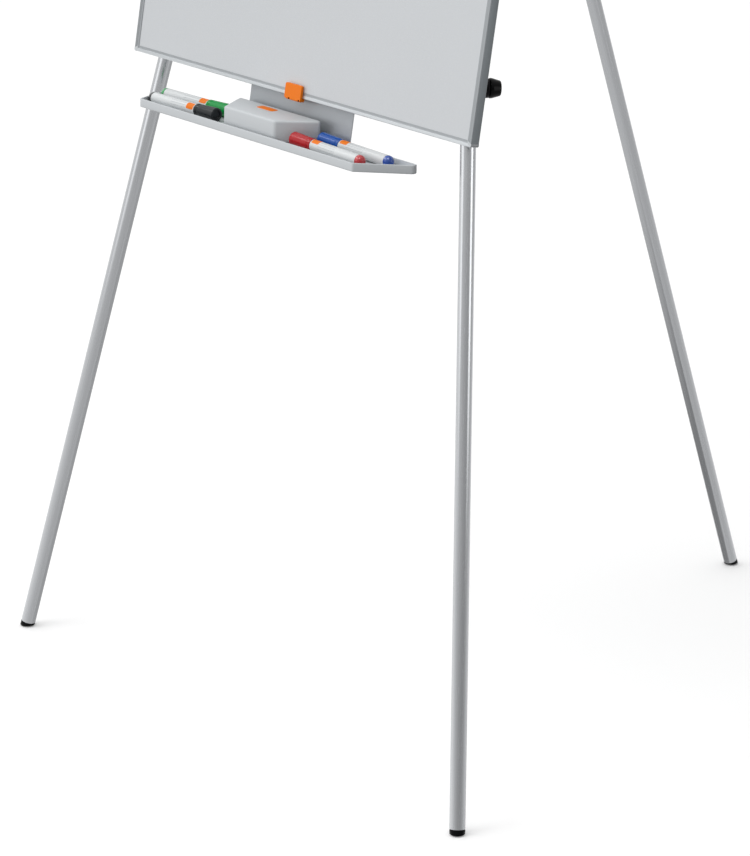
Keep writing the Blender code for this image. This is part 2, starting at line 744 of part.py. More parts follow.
def marker(colour, tray, x, forward, yaw, cap_right):
    """Board marker lying in the tray: end plug, barrel with a neck, and a hollow push-on cap."""
    seam = MARKER_LENGTH - CAP_LENGTH
    half = MARKER_LENGTH / 2
    turn = math.pi / 2 - MARKER_TILT
    if not cap_right:
        turn = -turn
    place = (x, -forward, TRAY_FLOOR + GAP + MARKER_HEIGHT)
    axis = frame_at(f"{colour}_marker_frame", place, (0, turn, yaw), tray)
    shoulder = seam - half
    dome = 0.9 * BARREL_R
    plug = [(BARREL_R * math.sin(a), dome * (1 - math.cos(a)) - half) for a in DOME_STEPS]
    plug.append((BARREL_R, PLUG_LENGTH - half))
    barrel = [
        (BARREL_R, PLUG_LENGTH + GAP - half),
        (BARREL_R, shoulder),
        (NECK_R, shoulder),
        (NECK_R, shoulder + NECK_LENGTH),
        (NIB_R, shoulder + NECK_LENGTH + NIB_LENGTH),
    ]
    cap = [
        (NECK_R + GAP, half - CAP_WALL_END),
        (NECK_R + GAP, shoulder + GAP),
        (CAP_R, shoulder + GAP),
        (CAP_END_R, half - 1 * MM),
        (CAP_END_R - 1 * MM, half),
    ]
    add_piece(f"{colour}_marker_plug", turned(plug, SMALL_ROUND), f"ink_{colour}", axis)
    add_piece(f"{colour}_marker_barrel", turned(barrel, SMALL_ROUND), "marker_white", axis)
    add_piece(f"{colour}_marker_cap", turned(cap, SMALL_ROUND), f"ink_{colour}", axis)


def rail_clip(panel):
    """Orange clip over the middle of the bottom rail, hooked under its edge."""
    back = BOARD_FRONT - GAP
    face = back - RAIL_CLIP_THICK
    low = BOARD_BOTTOM - RAIL_CLIP_BELOW
    high = BOARD_BOTTOM + RAIL_CLIP_ABOVE
    ledge = BOARD_BOTTOM - GAP
    edge = RAIL_CLIP_EDGE
    outline = [
        (face + edge, low),
        (back + RAIL_CLIP_HOOK, low),
        (back + RAIL_CLIP_HOOK, ledge),
        (back, ledge),
        (back, high),
        (face + edge, high),
        (face, high - edge),
        (face, low + edge),
    ]
    rings = [[Vector((x, w, s)) for w, s in outline] for x in RAIL_CLIP_X]
    add_piece("rail_clip", skin(rings), "orange_plastic", panel)


def build():
    clear_scene()
    make_materials()
    panel = frame_at("panel_frame", (0, -FOOT_DEPTH / 2, 0), (-LEAN, 0, 0))
    front_leg("left", -1, panel)
    front_leg("right", 1, panel)
    rear_leg()
    crossbar(panel)
    rear_clevis(panel)
    board_sheets(panel)
    board_frame(panel)
    pad_holder(panel)
    tray_plate(panel)
    rail_clip(panel)
    w, s = tray_to_panel(0, 0)
    tray = frame_at("tray_frame", (0, w, s), (TRAY_TIP, 0, 0), panel)
    pen_tray(tray)
    eraser(tray)
    marker("black", tray, -189.7 * MM, 42 * MM, math.radians(0.3), True)
    marker("green", tray, -200.4 * MM, 12.8 * MM, 0.0, True)
    marker("red", tray, 119.6 * MM, 44 * MM, math.radians(-1.5), False)
    marker("blue", tray, 141.4 * MM, 15 * MM, math.radians(-1.5), False)


build()
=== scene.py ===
"""Look of the flipchart easel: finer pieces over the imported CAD, materials, floor, light, camera.

Metres, +Z up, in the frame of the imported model. The legs and the board share one tilted frame
(x, w, s): w points backwards out of the board and s runs up the slope.
"""

import json
import math

import bmesh
import bpy
from mathutils import Matrix, Vector


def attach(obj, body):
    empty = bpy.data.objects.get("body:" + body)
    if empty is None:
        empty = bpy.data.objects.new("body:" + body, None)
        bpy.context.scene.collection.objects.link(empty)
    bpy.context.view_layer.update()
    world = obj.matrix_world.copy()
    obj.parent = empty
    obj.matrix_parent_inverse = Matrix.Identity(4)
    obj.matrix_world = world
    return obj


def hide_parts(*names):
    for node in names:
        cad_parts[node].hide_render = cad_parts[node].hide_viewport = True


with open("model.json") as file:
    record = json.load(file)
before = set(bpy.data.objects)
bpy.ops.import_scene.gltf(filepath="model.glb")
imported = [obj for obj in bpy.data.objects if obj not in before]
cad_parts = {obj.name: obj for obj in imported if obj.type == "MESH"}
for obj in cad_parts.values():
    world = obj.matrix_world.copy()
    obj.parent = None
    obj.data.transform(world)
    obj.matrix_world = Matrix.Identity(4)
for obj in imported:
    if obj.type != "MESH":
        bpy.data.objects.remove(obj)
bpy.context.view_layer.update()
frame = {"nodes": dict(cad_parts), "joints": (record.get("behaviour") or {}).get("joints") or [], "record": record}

MM = 0.001
GAP = 0.3 * MM
SEGMENTS = 72  # facets round a turned piece

# Legs
LOWER_R = 10.2 * MM
LOWER_BORE = 9.0 * MM
UPPER_R = 12.0 * MM
UPPER_BORE = 10.6 * MM
FRONT_JOINT = 943.5 * MM
REAR_JOINT = 1000 * MM
TUBE_OVERLAP = 126 * MM
FRONT_TOP = 1831 * MM
FOOT_R = 10.3 * MM
FOOT_SOLE_R = 7.0 * MM
FOOT_FLANGE = 6.2 * MM
PLUG_DEPTH = 24 * MM
COLLAR_R = 15.8 * MM
COLLAR_HALF = 24 * MM
BOSS_R = 12.6 * MM
BOSS_END = 24.7 * MM
BOSS_TURN = math.radians(30)
KNOB_R = 12.9 * MM
KNOB_END_R = 9.6 * MM
KNOB_LENGTH = 15 * MM
STUD_R = 3.0 * MM
STUD_LENGTH = 9 * MM
CLIP_WALL = 2.0 * MM
CLIP_HALF = 13 * MM
CLIP_FLANGE = 16 * MM
CLIP_PLACES = {"lower": 1035 * MM, "upper": 1725 * MM}

# Head
CROSSBAR_HALF = 170 * MM
CROSSBAR_DEPTH = 20 * MM
CROSSBAR_HEIGHT = 30 * MM
CROSSBAR_WALL = 2 * MM
PIN_R = 4.0 * MM
PIN_HEAD_R = 6.5 * MM
PIN_HEAD_H = 2.0 * MM
HEAD_R = 11.5 * MM
HEAD_HALF = 13.5 * MM
CHEEK = 2.5 * MM

# Board and pad holder
BOARD_W = 700 * MM
BOARD_H = 1000 * MM
BOARD_THICK = 13.5 * MM
BOARD_BOTTOM = 860.6 * MM
BOARD_FRONT = -28.2 * MM
BOARD_REAR = BOARD_FRONT + BOARD_THICK
BOARD_TOP = BOARD_BOTTOM + BOARD_H
RAIL = 8.0 * MM
RAIL_WALL = 1.2 * MM
RAIL_LAND = 4.4 * MM  # flat outer part of a rail's front
MITRE = 4.2 * MM  # length of a corner cap along the board's edge
HOOK_RAIL_HALF = 320 * MM
HOOK_RAIL_DEPTH = 6 * MM
HOOK_RAIL_H = 20 * MM
HOOK_RAIL_DROP = 21 * MM
HOOK_X = 232.5 * MM
HOOK_SIZE = (24 * MM, 4 * MM, 17 * MM)
CLAMP_HALF = 300 * MM
CLAMP_DROP = 41 * MM
CLAMP_STAND_OFF = 7 * MM
CLAMP_BARREL_R = 5.5 * MM
CLAMP_BLADE = 34 * MM
CLAMP_BLADE_HALF = 1.5 * MM
CLAMP_PIN_R = 2.5 * MM
BRACKET_WIDTH = 12 * MM
BRACKET_HEIGHT = 16 * MM

# Tray, eraser and markers
TRAY_DROP = 53.4 * MM
TRAY_TIP = math.radians(7.74)
TRAY_FRONT = (-257 * MM, 193.5 * MM)
TRAY_BACK = (-278 * MM, 246 * MM)
TRAY_DEPTH = 65.5 * MM
TRAY_SIDE = 9 * MM
TRAY_WALL_H = 11.5 * MM
TRAY_FLOOR = 2.0 * MM
PLATE_HALF = 106.4 * MM
PLATE_THICK = 1.8 * MM
PLATE_RISE = 60 * MM
PLATE_SHELF = 34 * MM
ERASER_FRONT = (-79.5 * MM, 27 * MM)
ERASER_BACK = (-112 * MM, 64 * MM)
ERASER_DEPTH = 52 * MM
ERASER_OFFSET = 7.5 * MM
ERASER_BODY_H = 28.0 * MM
ERASER_FELT_H = 3.2 * MM
MARKER_HALF = 72.5 * MM
BARREL_R = 7.75 * MM
CAP_R = 8.5 * MM
CAP_END_R = 9.6 * MM
CAP_LENGTH = 41.5 * MM
MARKER_HEIGHT = 8.7 * MM
MARKER_TILT = math.radians(0.73)
PLUG_LENGTH = 9.5 * MM
NECK_R = 6.2 * MM
NECK_LENGTH = 18 * MM
CLIP_X = (-15.5 * MM, 17.5 * MM)
CLIP_BELOW = 5 * MM
CLIP_ABOVE = 16.8 * MM
CLIP_THICK = 3.6 * MM
CLIP_HOOK = 4 * MM

joints = {joint["name"]: joint for joint in frame["joints"]}
mounts = {mount["name"]: Vector(mount["pos_m"]) for mount in frame["record"]["mounts"]}


# Frames


def frame_matrix(origin, x, y, z):
    matrix = Matrix((x, y, z)).transposed().to_4x4()
    matrix.translation = origin
    return matrix


def slide_axis(name):
    return Vector(joints[name]["axis"]).normalized()


RIGHT = Vector((1, 0, 0))
up_slope = (slide_axis("left_leg_slide") + slide_axis("right_leg_slide")).normalized()
backwards = up_slope.cross(RIGHT)
front_middle = (mounts["left_front_sole"] + mounts["right_front_sole"]) / 2
PANEL = frame_matrix(front_middle, RIGHT, backwards, up_slope)
LEGS = {}
for side in ("left", "right"):
    axis = slide_axis(f"{side}_leg_slide")
    sole = mounts[f"{side}_front_sole"]
    LEGS[side] = frame_matrix(sole, backwards.cross(axis), backwards, axis)
rear_axis = slide_axis("rear_leg_slide")
LEGS["rear"] = frame_matrix(mounts["rear_sole"], RIGHT, rear_axis.cross(RIGHT), rear_axis)
pivot = PANEL.inverted() @ Vector(joints["rear_leg_fold"]["pos_m"])
PIVOT_W = pivot.y
PIVOT_S = pivot.z


def tray_to_panel(forward, height):
    """(w, s) of a point that is forward of the tray's back face and above its underside."""
    w = BOARD_REAR - GAP - forward * math.cos(TRAY_TIP) - height * math.sin(TRAY_TIP)
    s = BOARD_BOTTOM - TRAY_DROP - forward * math.sin(TRAY_TIP) + height * math.cos(TRAY_TIP)
    return w, s


TRAY = PANEL @ Matrix.Translation((0, *tray_to_panel(0, 0))) @ Matrix.Rotation(TRAY_TIP, 4, "X")


# Materials


def linear(hex_colour, gain=1.0):
    """Linear RGBA of an sRGB hex colour."""
    channels = [int(hex_colour[i : i + 2], 16) / 255 for i in (0, 2, 4)]
    values = [c / 12.92 if c <= 0.04045 else ((c + 0.055) / 1.055) ** 2.4 for c in channels]
    return (*(min(1.0, v * gain) for v in values), 1.0)


def add_node(tree, kind, inputs=None, **settings):
    """A shader node; an input's value may be another node's output socket."""
    node = tree.nodes.new("ShaderNode" + kind)
    for key, value in settings.items():
        setattr(node, key, value)
    for key, value in (inputs or {}).items():
        if isinstance(value, bpy.types.NodeSocket):
            tree.links.new(value, node.inputs[key])
        else:
            node.inputs[key].default_value = value
    return node


def maths(tree, operation, first, second=0.0):
    return add_node(tree, "Math", {0: first, 1: second}, operation=operation).outputs[0]


def blended(tree, factor, first, second):
    """Colour between two colours or sockets."""
    mix = add_node(tree, "Mix", data_type="RGBA")
    for index, value in ((0, factor), (6, first), (7, second)):
        if isinstance(value, bpy.types.NodeSocket):
            tree.links.new(value, mix.inputs[index])
        else:
            mix.inputs[index].default_value = value
    return mix.outputs[2]


def make_material(name, colour, rough, metal=0.0, grain=(1500, 1500, 1500), relief=0.03, mottle=0.05,
                  rough_spread=0.06, coat=0.0, sheen=0.0, gloss=0.5, lines=None):
    """Principled shader with fine grain in roughness and relief, and a broad, faint mottle."""
    material = bpy.data.materials.new(name)
    material.use_nodes = True
    tree = material.node_tree
    shader = tree.nodes["Principled BSDF"]
    place = add_node(tree, "TexCoord").outputs["Object"]
    stretched = add_node(tree, "Mapping", {"Vector": place, "Scale": grain}).outputs[0]
    fine = add_node(tree, "TexNoise", {"Vector": stretched, "Scale": 1.0, "Detail": 3.0}).outputs[0]
    broad = add_node(tree, "TexNoise", {"Vector": place, "Scale": 9.0, "Detail": 4.0}).outputs[0]
    limits = {0: fine, 1: 0.3, 2: 0.7, 3: rough - rough_spread, 4: rough + rough_spread}
    tree.links.new(add_node(tree, "MapRange", limits).outputs[0], shader.inputs["Roughness"])
    relief_inputs = {"Height": fine, "Strength": relief, "Distance": 0.1 * MM}
    bump = add_node(tree, "Bump", relief_inputs).outputs[0]
    tree.links.new(bump, shader.inputs["Normal"])
    dark = (*(c * (1 - mottle) for c in colour[:3]), 1.0)
    light = (*(min(1.0, c * (1 + mottle)) for c in colour[:3]), 1.0)
    tint = blended(tree, broad, dark, light)
    if lines:
        tint = lined(tree, place, tint, *lines)
    tree.links.new(tint, shader.inputs["Base Color"])
    shader.inputs["Metallic"].default_value = metal
    shader.inputs["Coat Weight"].default_value = coat
    shader.inputs["Coat Roughness"].default_value = 0.08
    shader.inputs["Sheen Weight"].default_value = sheen
    shader.inputs["Specular IOR Level"].default_value = gloss
    return material


def lined(tree, place, tint, ink, start, end):
    """Thin printed lines along a barrel, between two places on its axis."""
    split = add_node(tree, "SeparateXYZ", {0: place})
    x, y, z = split.outputs
    turn = maths(tree, "ARCTAN2", y, x)
    wave = maths(tree, "SINE", maths(tree, "MULTIPLY", turn, 14.0))
    on_line = maths(tree, "GREATER_THAN", wave, 0.93)
    inside = maths(tree, "MULTIPLY", maths(tree, "GREATER_THAN", z, start), maths(tree, "LESS_THAN", z, end))
    return blended(tree, maths(tree, "MULTIPLY", on_line, inside), tint, ink)


DRAWN = (2200, 2200, 25)  # grain drawn out along a tube or a rail
DRAWN_X = (25, 2200, 2200)
FINISHES = {
    "satin_aluminium": dict(colour=linear("CBCDD0"), rough=0.24, metal=1.0, grain=DRAWN, relief=0.01,
                            mottle=0.02, rough_spread=0.04),
    "rail_aluminium": dict(colour=linear("CDD1D4"), rough=0.36, metal=0.75, grain=DRAWN, relief=0.01),
    "rail_aluminium_across": dict(colour=linear("CDD1D4"), rough=0.36, metal=0.75, grain=DRAWN_X),
    # Painted shade: the upright rails get a darker copy of the rail aluminium.
    "rail_upright_painted_shade": dict(colour=linear("989C9F"), rough=0.36, metal=0.85, grain=DRAWN, relief=0.01),
    # Painted shade: the inner part of each rail's front lip gets a darker copy of the rail aluminium.
    "rail_shade": dict(colour=linear("A0A4A7"), rough=0.45, metal=0.6, grain=DRAWN),
    # Painted shade: each rail's outer side face gets a darker copy of the rail aluminium.
    "rail_side_painted_shade": dict(colour=linear("717679"), rough=0.4, metal=0.85, grain=DRAWN, relief=0.01),
    "grey_steel": dict(colour=linear("ABAFB3"), rough=0.42, metal=0.6, grain=(700, 700, 700)),
    "zinc_steel": dict(colour=linear("B4B8BB"), rough=0.33, metal=0.95, mottle=0.1),
    "board_white": dict(colour=linear("CED1D4"), rough=0.25, relief=0.01, mottle=0.012, gloss=0.4),
    "core_board": dict(colour=linear("B9A88A"), rough=0.85, relief=0.3, mottle=0.15),
    "light_grey_plastic": dict(colour=linear("CACED1"), rough=0.42, relief=0.05, mottle=0.012, gloss=0.4),
    "black_plastic": dict(colour=linear("050607"), rough=0.16, relief=0.02, rough_spread=0.03, gloss=0.1),
    "orange_plastic": dict(colour=linear("F07A08"), rough=0.4, relief=0.05, mottle=0.02, gloss=0.2),
    "marker_white": dict(colour=linear("DADDDE"), rough=0.3, mottle=0.01, gloss=0.4,
                         lines=(linear("A4A9AE"), -20 * MM, 14 * MM)),
    "marker_nib": dict(colour=linear("4A4C4E"), rough=0.9, relief=0.3),
    "ink_black": dict(colour=linear("26292C"), rough=0.2, gloss=0.3),
    "ink_green": dict(colour=linear("009642"), rough=0.2, gloss=0.3),
    "ink_red": dict(colour=linear("B21C24"), rough=0.2, gloss=0.3),
    "ink_blue": dict(colour=linear("1A54AA"), rough=0.2, gloss=0.3),
    "ink_black_clear": dict(colour=linear("26292C"), rough=0.1, gloss=0.5, coat=0.8, rough_spread=0.02),
    "ink_green_clear": dict(colour=linear("14A050"), rough=0.1, gloss=0.5, coat=0.8, rough_spread=0.02),
    "ink_red_clear": dict(colour=linear("C4242E"), rough=0.1, gloss=0.5, coat=0.8, rough_spread=0.02),
    "ink_blue_clear": dict(colour=linear("1C4CA8"), rough=0.1, gloss=0.5, coat=0.8, rough_spread=0.02),
    "grey_felt": dict(colour=linear("7C7F82"), rough=0.95, grain=(900, 900, 2600), relief=0.9,
                      mottle=0.12, sheen=0.5),
}
materials = {}


def finish(name):
    if name not in materials:
        materials[name] = make_material(f"{name}_finish", **FINISHES[name])
    return materials[name]


# Shapes. Each returns a bmesh.


def eased(points, closed=True, steps=5):
    """A polyline of (a, b) or (a, b, radius) points with its corners rounded off."""
    result = []
    count = len(points)
    for i, point in enumerate(points):
        here = Vector(point[:2])
        radius = point[2] if len(point) > 2 else 0.0
        if not radius or (not closed and i in (0, count - 1)):
            result.append(tuple(here))
            continue
        before = Vector(points[i - 1][:2]) - here
        after = Vector(points[(i + 1) % count][:2]) - here
        first = here + before.normalized() * min(radius, before.length * 0.49)
        last = here + after.normalized() * min(radius, after.length * 0.49)
        for step in range(steps + 1):
            t = step / steps
            result.append(tuple(first * (1 - t) ** 2 + here * 2 * t * (1 - t) + last * t**2))
    return result


def arc(centre, radius, start, end, steps):
    angles = (start + (end - start) * i / steps for i in range(steps + 1))
    return [(centre[0] + radius * math.cos(a), centre[1] + radius * math.sin(a)) for a in angles]


def skin(rings, closed=False):
    """Quads between successive rings of equal count. Open stacks are capped, closed ones join up."""
    data = bmesh.new()
    rows = [[data.verts.new(point) for point in points] for points in rings]
    count = len(rows[0])
    pairs = list(zip(rows, rows[1:]))
    if closed:
        pairs.append((rows[-1], rows[0]))
    else:
        data.faces.new(rows[0])
        data.faces.new(rows[-1])
    for low, high in pairs:
        for i in range(count):
            j = (i + 1) % count
            data.faces.new((low[i], low[j], high[j], high[i]))
    return data


def ring(radius, z, count=SEGMENTS):
    steps = (math.tau * i / count for i in range(count))
    return [Vector((radius * math.cos(a), radius * math.sin(a), z)) for a in steps]


def hexagon(across, z):
    """A ring with as many points as a round one, on a hexagon."""
    points = []
    for i in range(SEGMENTS):
        angle = math.tau * i / SEGMENTS
        off = (angle + math.pi / 6) % (math.pi / 3) - math.pi / 6
        radius = across / 2 / math.cos(off)
        points.append(Vector((radius * math.cos(angle), radius * math.sin(angle), z)))
    return points


def turned(profile, closed=False, steps=5):
    """A solid of revolution about Z from (radius, z) or (radius, z, corner radius) points."""
    return skin([ring(r, z) for r, z in eased(profile, closed, steps)], closed)


def prism(outline, start, end):
    return skin([[Vector((x, y, z)) for x, y in outline] for z in (start, end)])


def bar(outline, start, end):
    """A straight extrusion along X of an outline of (w, s) points."""
    return skin([[Vector((x, w, s)) for w, s in outline] for x in (start, end)])


def moved(data, matrix):
    bmesh.ops.transform(data, matrix=matrix, verts=data.verts)
    return data


def plate(outline, near, far):
    """An extrusion along w of an outline of (x, s) points."""
    return skin([[Vector((x, w, s)) for x, s in outline] for w in (near, far)])


def box(size, centre):
    half_x, half_y = size[0] / 2, size[1] / 2
    x, y, z = centre
    corners = [(x - half_x, y - half_y), (x + half_x, y - half_y), (x + half_x, y + half_y), (x - half_x, y + half_y)]
    return prism(corners, z - size[2] / 2, z + size[2] / 2)


def gathered(parts):
    """Several bmeshes as one."""
    result = bmesh.new()
    for data in parts:
        bmesh.ops.recalc_face_normals(data, faces=data.faces)
        mesh = bpy.data.meshes.new("part")
        data.to_mesh(mesh)
        data.free()
        result.from_mesh(mesh)
        bpy.data.meshes.remove(mesh)
    return result


def combined(first, second, operation):
    """A Boolean of two bmeshes."""
    helpers = []
    for data in (first, second):
        bmesh.ops.recalc_face_normals(data, faces=data.faces)
        mesh = bpy.data.meshes.new("helper")
        data.to_mesh(mesh)
        data.free()
        helper = bpy.data.objects.new("helper", mesh)
        bpy.context.scene.collection.objects.link(helper)
        helpers.append(helper)
    modifier = helpers[0].modifiers.new("combine", "BOOLEAN")
    modifier.operation = operation
    modifier.object = helpers[1]
    bpy.context.view_layer.update()
    evaluated = helpers[0].evaluated_get(bpy.context.evaluated_depsgraph_get())
    result = bmesh.new()
    result.from_mesh(evaluated.to_mesh())
    evaluated.to_mesh_clear()
    for helper in helpers:
        mesh = helper.data
        bpy.data.objects.remove(helper, do_unlink=True)
        bpy.data.meshes.remove(mesh)
    return result


def rounded(corners, radii, steps=8):
    """A convex, counter-clockwise outline with each corner replaced by an arc."""
    points = []
    count = len(corners)
    for i, corner in enumerate(corners):
        here = Vector(corner)
        before = (Vector(corners[i - 1]) - here).normalized()
        after = (Vector(corners[(i + 1) % count]) - here).normalized()
        half = before.angle(after) / 2
        radius = radii[i]
        centre = here + (before + after).normalized() * radius / math.sin(half)
        first = math.atan2(-before.x, before.y) + math.pi
        points += arc(centre, radius, first, first + math.pi - 2 * half, steps)
    return points


def divided(outline, longest):
    """A closed outline with its long edges cut into shorter ones."""
    points = []
    for first, last in zip(outline, outline[1:] + outline[:1]):
        pieces = math.ceil(math.dist(first, last) / longest)
        points += [tuple(Vector(first).lerp(Vector(last), i / pieces)) for i in range(pieces)]
    return points


def shrunk(corners, inset):
    """A convex, counter-clockwise outline moved inwards by a constant distance."""
    result = []
    count = len(corners)
    for i, corner in enumerate(corners):
        here = Vector(corner)
        before = (Vector(corners[i - 1]) - here).normalized()
        after = (Vector(corners[(i + 1) % count]) - here).normalized()
        half = before.angle(after) / 2
        result.append(tuple(here + (before + after).normalized() * inset / math.sin(half)))
    return result


def layered(corners, radii, levels, shift=0.0):
    """A solid through insets of one outline at successive heights, from (inset, height) pairs."""
    rings = []
    for inset, height in levels:
        outline = rounded(shrunk(corners, inset), [max(r - inset, 0.3 * MM) for r in radii])
        rings.append([Vector((x, y + shift, height)) for x, y in outline])
    return rings


def add_piece(name, data, place, body, material, stands_for=(), soften=0.0):
    """Links a bmesh as a smooth-shaded piece that rides on a CAD body."""
    bmesh.ops.remove_doubles(data, verts=data.verts, dist=0.002 * MM)
    bmesh.ops.recalc_face_normals(data, faces=data.faces)
    mesh = bpy.data.meshes.new(name)
    data.to_mesh(mesh)
    data.free()
    mesh.shade_smooth()
    mesh.set_sharp_from_angle(angle=math.radians(38))
    mesh.materials.append(finish(material))
    piece = bpy.data.objects.new(name, mesh)
    bpy.context.scene.collection.objects.link(piece)
    piece.matrix_world = place
    if soften:
        bevel = piece.modifiers.new("soften", "BEVEL")
        bevel.width = soften
        bevel.segments = 3
        bevel.limit_method = "ANGLE"
        bevel.angle_limit = math.radians(50)
        bevel.harden_normals = True
    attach(piece, body)
    if stands_for:
        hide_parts(*stands_for)
    return piece


def screw_head(radius, height):
    """Button head with a hexagon socket, standing on z = 0."""
    rings = [ring(radius, -0.2 * MM), ring(radius, 0.25 * height)]
    for angle in (25, 45, 62, 75):
        a = math.radians(angle)
        rings.append(ring(radius * (0.45 + 0.55 * math.cos(a)), height * (0.25 + 0.75 * math.sin(a))))
    rings.append(ring(radius * 0.5, height))
    rings.append(hexagon(radius * 0.8, height))
    rings.append(hexagon(radius * 0.8, height * 0.35))
    return skin(rings)


def screws(name, places, radius, place, body, turn):
    """A set of screw heads at points of a frame, all turned the same way."""
    heads = [moved(screw_head(radius, 0.55 * radius), Matrix.Translation(p) @ turn) for p in places]
    return add_piece(name, gathered(heads), place, body, "zinc_steel")


BACKWARD = Matrix.Rotation(-math.pi / 2, 4, "X")  # a head on the board's back
FORWARD = Matrix.Rotation(math.pi / 2, 4, "X")


# Legs


def floor_ring(radius, height, up):
    """A ring round the leg whose points all lie at one height above the floor."""
    points = ring(radius, 0.0)
    for point in points:
        point.z = (height - point.dot(Vector((up.x, up.y, 0.0)))) / up.z
    return points


def telescopic_leg(side, joint, top, turn, upper_body):
    leg = LEGS[side]
    lower_body = f"{side}_lower_leg"
    up = leg.to_3x3().transposed() @ Vector((0, 0, 1))
    stem = LOWER_BORE - GAP
    rings = [
        floor_ring(FOOT_SOLE_R, 0.0, up),
        floor_ring(FOOT_SOLE_R + 1.3 * MM, 0.2 * MM, up),
        floor_ring(FOOT_R - 1.1 * MM, 0.6 * MM, up),
        floor_ring(FOOT_R - 0.35 * MM, 1.1 * MM, up),
        floor_ring(FOOT_R, 1.6 * MM, up),
        ring(FOOT_R, FOOT_FLANGE - 0.7 * MM),
        ring(FOOT_R - 0.15 * MM, FOOT_FLANGE - 0.3 * MM),
        ring(FOOT_R - 0.5 * MM, FOOT_FLANGE),
        ring(stem, FOOT_FLANGE),
        ring(stem, FOOT_FLANGE + PLUG_DEPTH),
    ]
    add_piece(f"{side}_foot_detailed", skin(rings), leg, lower_body, "black_plastic", (f"{side}_foot",))
    sleeve = joint - COLLAR_HALF / 2 + GAP
    tubes = (
        ("lower", LOWER_R, LOWER_BORE, FOOT_FLANGE + GAP, sleeve + TUBE_OVERLAP, lower_body),
        ("upper", UPPER_R, UPPER_BORE, sleeve, top, upper_body),
    )
    for place, outer, bore, start, end, body in tubes:
        edge = 0.5 * MM
        profile = [
            (outer, start, edge),
            (outer, start + 300 * MM),
            (outer, end, edge),
            (bore, end, edge),
            (bore, start, edge),
        ]
        node = f"{side}_{place}_tube"
        add_piece(f"{node}_detailed", turned(profile, closed=True), leg, body, "satin_aluminium", (node,))
    collar(side, leg, joint, turn, upper_body)
    knob(side, leg, joint, turn)


def collar(side, leg, joint, turn, body):
    """Clamp collar with a grooved sleeve, and a boss that the knob screws into."""
    low = joint - COLLAR_HALF
    high = joint + COLLAR_HALF
    step = joint - COLLAR_HALF / 2
    groove = 0.7 * MM
    profile = [(COLLAR_R, low, 1.6 * MM)]
    for z in (low + 5 * MM, high - 6.4 * MM):
        profile += [
            (COLLAR_R, z, 0.3 * MM),
            (COLLAR_R - groove, z + 0.3 * MM, 0.2 * MM),
            (COLLAR_R - groove, z + 1.1 * MM, 0.2 * MM),
            (COLLAR_R, z + 1.4 * MM, 0.3 * MM),
        ]
    profile += [
        (COLLAR_R, high, 1.6 * MM),
        (UPPER_R + GAP, high, 0.4 * MM),
        (UPPER_R + GAP, step),
        (LOWER_R + GAP, step),
        (LOWER_R + GAP, low, 0.4 * MM),
    ]
    outwards = Matrix.Translation((0, 0, joint)) @ Matrix.Rotation(turn, 4, "Z") @ BACKWARD
    start = UPPER_R + 2 * GAP
    boss = turned([(BOSS_R, start), (BOSS_R, BOSS_END, 1.6 * MM), (STUD_R + 2 * MM, BOSS_END)])
    solid = combined(turned(profile, closed=True, steps=3), moved(boss, outwards), "UNION")
    drill = turned([(STUD_R + GAP, start + 1 * MM), (STUD_R + GAP, BOSS_END + 1 * MM)])
    solid = combined(solid, moved(drill, outwards), "DIFFERENCE")
    add_piece(f"{side}_collar_detailed", solid, leg, body, "black_plastic", (f"{side}_collar",))


def knob(side, leg, joint, turn):
    """Tapered clamp knob with a rounded shoulder, a dished end and a threaded stud."""
    profile = [(STUD_R - 0.8 * MM, -STUD_LENGTH), (STUD_R, -STUD_LENGTH + 0.8 * MM)]
    thread = [(STUD_R - 0.5 * MM * (i % 2), -STUD_LENGTH + (1.3 + 0.5 * i) * MM) for i in range(14)]
    profile += thread + [(STUD_R, -0.4 * MM), (STUD_R, 0)]
    profile += [
        (KNOB_R, 0, 2.2 * MM),
        (KNOB_R, 3.6 * MM, 1.6 * MM),
        (KNOB_END_R + 0.3 * MM, KNOB_LENGTH - 0.9 * MM, 0.8 * MM),
        (KNOB_END_R - 0.5 * MM, KNOB_LENGTH, 0.3 * MM),
        (KNOB_END_R - 2.2 * MM, KNOB_LENGTH, 0.4 * MM),
        (KNOB_END_R - 2.8 * MM, KNOB_LENGTH - 0.8 * MM, 0.4 * MM),
        (1 * MM, KNOB_LENGTH - 0.8 * MM),
    ]
    outwards = Matrix.Rotation(turn, 4, "Z") @ BACKWARD
    reach = Matrix.Translation((0, 0, joint)) @ outwards @ Matrix.Translation((0, 0, BOSS_END + GAP))
    name = f"{side}_knob"
    add_piece(f"{name}_detailed", turned(profile, steps=6), leg @ reach, name, "black_plastic", (name,))


def front_leg(side, sign):
    leg = LEGS[side]
    telescopic_leg(side, FRONT_JOINT, FRONT_TOP, -sign * BOSS_TURN, "board")
    stem = UPPER_BORE - GAP
    profile = [
        (stem - 0.5 * MM, FRONT_TOP - PLUG_DEPTH),
        (stem, FRONT_TOP - PLUG_DEPTH + 0.6 * MM),
        (stem, FRONT_TOP + GAP),
        (UPPER_R, FRONT_TOP + GAP),
        (UPPER_R, FRONT_TOP + 4 * MM, 2.4 * MM),
        (1 * MM, FRONT_TOP + 4.2 * MM),
    ]
    add_piece(f"{side}_tube_cap_detailed", turned(profile), leg, "board", "black_plastic",
              (f"{side}_tube_cap",))
    for place, along in CLIP_PLACES.items():
        tube_clip(f"{side}_{place}_tube_clip", leg, along)


